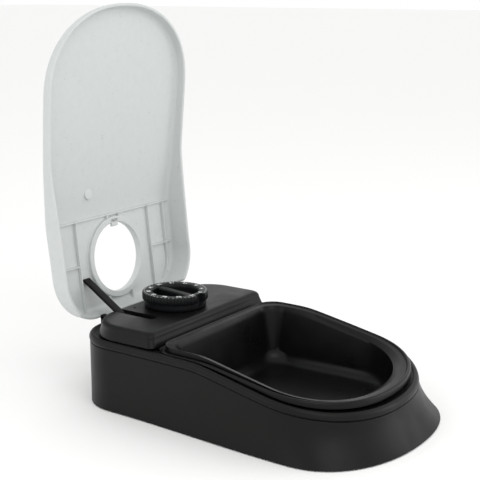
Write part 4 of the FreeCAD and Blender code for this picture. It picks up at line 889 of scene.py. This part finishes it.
def make_finishes(finish):
    """Every finish by name."""
    return {
        "black": black_abs("black_abs", finish.black, 0.34, 0.46),
        "bowl": black_abs("bowl_black_polypropylene", finish.bowl, 0.26, 0.36),
        "dial": black_abs("dial_abs", finish.dial, 0.3, 0.42),
        "lid": speckled_polypropylene(finish),
        "print": printed_ink(finish),
        # Moulded rubber: dead matt, with no clear highlight.
        "rubber": plain_polymer("foot_rubber", "#1d1d1d", 0.7, 0.85, 0.6 * MM),
        # Moulded ABS of the timer case: dark grey with a dull sheen.
        "case": plain_polymer("case_moulding", "#2b2c30", 0.4, 0.55, 0.4 * MM),
        # Moulded acetal gears: creamy white and slippery smooth.
        "acetal": plain_polymer("natural_acetal", "#e6e1cf", 0.25, 0.35, 0.5 * MM),
        # Shrunk PVC film round the cell: dark blue, tight and glossy.
        "sleeve": plain_polymer("cell_sleeve", "#20284a", 0.2, 0.3, 1.2 * MM),
        # Extruded PVC round the leads: even colour, a soft line of light along it.
        "red": plain_polymer("red_insulation", "#a01818", 0.35, 0.45, 0.4 * MM),
        "wire_black": plain_polymer("black_insulation", "#151515", 0.35, 0.45, 0.4 * MM),
        # Epoxy solder mask: green with a hard shine.
        "board": plain_polymer("solder_mask", "#1d5a2c", 0.25, 0.4, 0.8 * MM),
        # Pressed and sintered ferrite: dark grey and grainy.
        "magnet": plain_polymer("sintered_magnet", "#3a3a3c", 0.5, 0.65, 0.3 * MM),
        # Bright zinc plate: pale and slightly cloudy.
        "zinc": plain_metal("zinc_plate", "#b9bcc0", 0.25, 0.4, 0.3 * MM),
        # Drawn spring wire: mid grey with sharp lights.
        "spring": plain_metal("drawn_spring_steel", "#9a9ca0", 0.2, 0.3, 0.2 * MM),
        # Stamped soft iron: dull grey, barely reflecting.
        "iron": plain_metal("stamped_iron", "#8a8a88", 0.4, 0.55, 0.5 * MM),
        # Nickel plate: warm and almost mirror bright.
        "nickel": plain_metal("nickel_plate", "#c9c4b8", 0.18, 0.28, 0.3 * MM),
        "copper": wound_copper(),
    }


FINISH_OF_SLOT = {
    "black_plastic": "black", "bowl_plastic": "bowl", "lid_plastic": "lid", "dial_plastic": "dial",
    "arm_plastic": "black", "foot_rubber": "rubber", "screw_steel": "zinc", "spring_steel": "spring",
    "case_plastic": "case", "gear_plastic": "acetal", "magnet": "magnet", "soft_iron": "iron",
    "copper_winding": "copper", "board_green": "board", "crystal_can": "nickel", "cell_sleeve": "sleeve",
    "contact_plate": "nickel", "red_sleeve": "red", "black_sleeve": "wire_black",
}


def paint_nodes(finishes):
    """Gives every node of the frame the finish of its slot."""
    slots = {part["node"]: part["material_slot"] for part in frame["record"]["subparts"]}
    for node, piece in frame["nodes"].items():
        piece.data.materials.clear()
        piece.data.materials.append(finishes[FINISH_OF_SLOT[slots[node]]])


# ------------------------------------------------------------------ stage
def studio(settings, finish):
    """Pale floor and soft lights, whose power is a share of the key's."""
    floor_z = CAD_BOX[0][2]
    mesh = bpy.data.meshes.new("floor")
    reach = 12.0
    corners = [(x * reach, y * reach, floor_z) for x, y in ((-1, -1), (1, -1), (1, 1), (-1, 1))]
    mesh.from_pydata(corners, [], [(0, 1, 2, 3)])
    floor = linked("studio_floor", mesh)
    # Matt painted board: pale and even, with no reflection.
    mesh.materials.append(new_material("studio_paint", Base_Color=(*finish.floor, 1), Roughness=0.9)[0])
    world = bpy.data.worlds.new("studio")
    world.use_nodes = True
    background = world.node_tree.nodes["Background"].inputs
    background["Color"].default_value = (1, 1, 1, 1)
    background["Strength"].default_value = 1.0
    bpy.context.scene.world = world
    bpy.context.scene.view_settings.view_transform = "Standard"
    target = np.array((0.0, 0.0, 0.06))
    lights = (("key", (-0.55, -0.95, 1.0), 0.9, 1.0), ("fill", (-1.2, 0.5, 0.6), 1.0, 0.45),
              ("nose", (0.75, -0.8, 0.35), 0.5, 0.35))
    for name, place, width, share in lights:
        light = bpy.data.lights.new(name, "AREA")
        light.size = width
        light.energy = settings.key_power * share
        lamp = linked(name, light)
        lamp.location = place
        lamp.rotation_euler = look(np.array(place), target).to_euler()


def look(eye, target):
    """Rotation of a camera or light at eye that faces target."""
    back = eye - target
    back /= np.linalg.norm(back)
    right = np.cross((0, 0, 1), back)
    right /= np.linalg.norm(right)
    return Matrix(np.column_stack([right, np.cross(back, right), back]).tolist())


def add_camera(settings):
    """Camera from its place, heading and pitch."""
    lens = bpy.data.cameras.new("camera")
    lens.lens = settings.lens
    lens.sensor_width = 36
    camera = linked("camera", lens)
    eye = np.array(settings.eye)
    level_part = math.cos(settings.pitch)
    ahead = np.array((math.sin(settings.heading) * level_part, math.cos(settings.heading) * level_part,
                      -math.sin(settings.pitch)))
    camera.location = eye
    camera.rotation_euler = look(eye, eye + ahead).to_euler()
    bpy.context.scene.camera = camera


# ------------------------------------------------------------------ operators and panel
FINISHES = {}


class FEEDER_OT_finishes(bpy.types.Operator):
    """Make every finish and paint the frame's nodes"""
    bl_idname = "feeder.finishes"
    bl_label = "Finishes"

    def execute(self, context):
        FINISHES.update(make_finishes(context.scene.feeder_finish))
        paint_nodes(FINISHES)
        return {"FINISHED"}


class FEEDER_OT_base(bpy.types.Operator):
    """Make the base's moulding"""
    bl_idname = "feeder.base"
    bl_label = "Base"

    def execute(self, context):
        base_pieces(context.scene.feeder_base, FINISHES)
        return {"FINISHED"}


class FEEDER_OT_bowl(bpy.types.Operator):
    """Make the food bowl"""
    bl_idname = "feeder.bowl"
    bl_label = "Bowl"

    def execute(self, context):
        bowl_pieces(context.scene.feeder_bowl, FINISHES)
        return {"FINISHED"}


class FEEDER_OT_deck(bpy.types.Operator):
    """Make the timer housing and the arm's brackets"""
    bl_idname = "feeder.deck"
    bl_label = "Timer housing"

    def execute(self, context):
        deck_pieces(context.scene.feeder_deck, FINISHES)
        return {"FINISHED"}


class FEEDER_OT_lid(bpy.types.Operator):
    """Make the lid, open"""
    bl_idname = "feeder.lid"
    bl_label = "Lid"

    def execute(self, context):
        lid_pieces(context.scene.feeder_lid, FINISHES)
        return {"FINISHED"}


class FEEDER_OT_dial(bpy.types.Operator):
    """Make the dial, its grip and its printing"""
    bl_idname = "feeder.dial"
    bl_label = "Dial"

    def execute(self, context):
        dial_pieces(context.scene.feeder_dial, FINISHES)
        return {"FINISHED"}


class FEEDER_OT_arm(bpy.types.Operator):
    """Make the lift arm"""
    bl_idname = "feeder.arm"
    bl_label = "Lift arm"

    def execute(self, context):
        arm_pieces(FINISHES)
        return {"FINISHED"}


class FEEDER_OT_stage(bpy.types.Operator):
    """Set the floor, the lights and the camera"""
    bl_idname = "feeder.stage"
    bl_label = "Stage"

    def execute(self, context):
        studio(context.scene.feeder_stage, context.scene.feeder_finish)
        add_camera(context.scene.feeder_stage)
        return {"FINISHED"}


OPERATORS = (FEEDER_OT_finishes, FEEDER_OT_base, FEEDER_OT_bowl, FEEDER_OT_deck, FEEDER_OT_lid,
             FEEDER_OT_dial, FEEDER_OT_arm, FEEDER_OT_stage)
GROUPS = {"feeder_base": FeederBase, "feeder_bowl": FeederBowl, "feeder_deck": FeederDeck,
          "feeder_lid": FeederLid, "feeder_dial": FeederDial, "feeder_finish": FeederFinish,
          "feeder_stage": FeederStage}


class FEEDER_PT_panel(bpy.types.Panel):
    """Sizes, colours and buttons"""
    bl_idname = "FEEDER_PT_panel"
    bl_label = "Pet feeder"
    bl_space_type = "VIEW_3D"
    bl_region_type = "UI"
    bl_category = "Feeder"

    def draw(self, context):
        for attribute in GROUPS:
            box = self.layout.box()
            group = getattr(context.scene, attribute)
            for name in group.bl_rna.properties.keys():
                if name not in ("rna_type", "name"):
                    box.prop(group, name)
        for operator in OPERATORS:
            self.layout.operator(operator.bl_idname)


def register():
    """Registers the groups, the operators and the panel."""
    for attribute, group in GROUPS.items():
        bpy.utils.register_class(group)
        setattr(bpy.types.Scene, attribute, bpy.props.PointerProperty(type=group))
    for operator in OPERATORS:
        bpy.utils.register_class(operator)
    bpy.utils.register_class(FEEDER_PT_panel)


def unregister():
    """Takes everything that register adds away again."""
    bpy.utils.unregister_class(FEEDER_PT_panel)
    for operator in reversed(OPERATORS):
        bpy.utils.unregister_class(operator)
    for attribute, group in reversed(GROUPS.items()):
        delattr(bpy.types.Scene, attribute)
        bpy.utils.unregister_class(group)


def main():
    """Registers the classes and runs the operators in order."""
    register()
    bpy.ops.feeder.finishes()
    bpy.ops.feeder.base()
    bpy.ops.feeder.bowl()
    bpy.ops.feeder.deck()
    bpy.ops.feeder.lid()
    bpy.ops.feeder.dial()
    bpy.ops.feeder.arm()
    bpy.ops.feeder.stage()


if __name__ == "__main__":
    main()
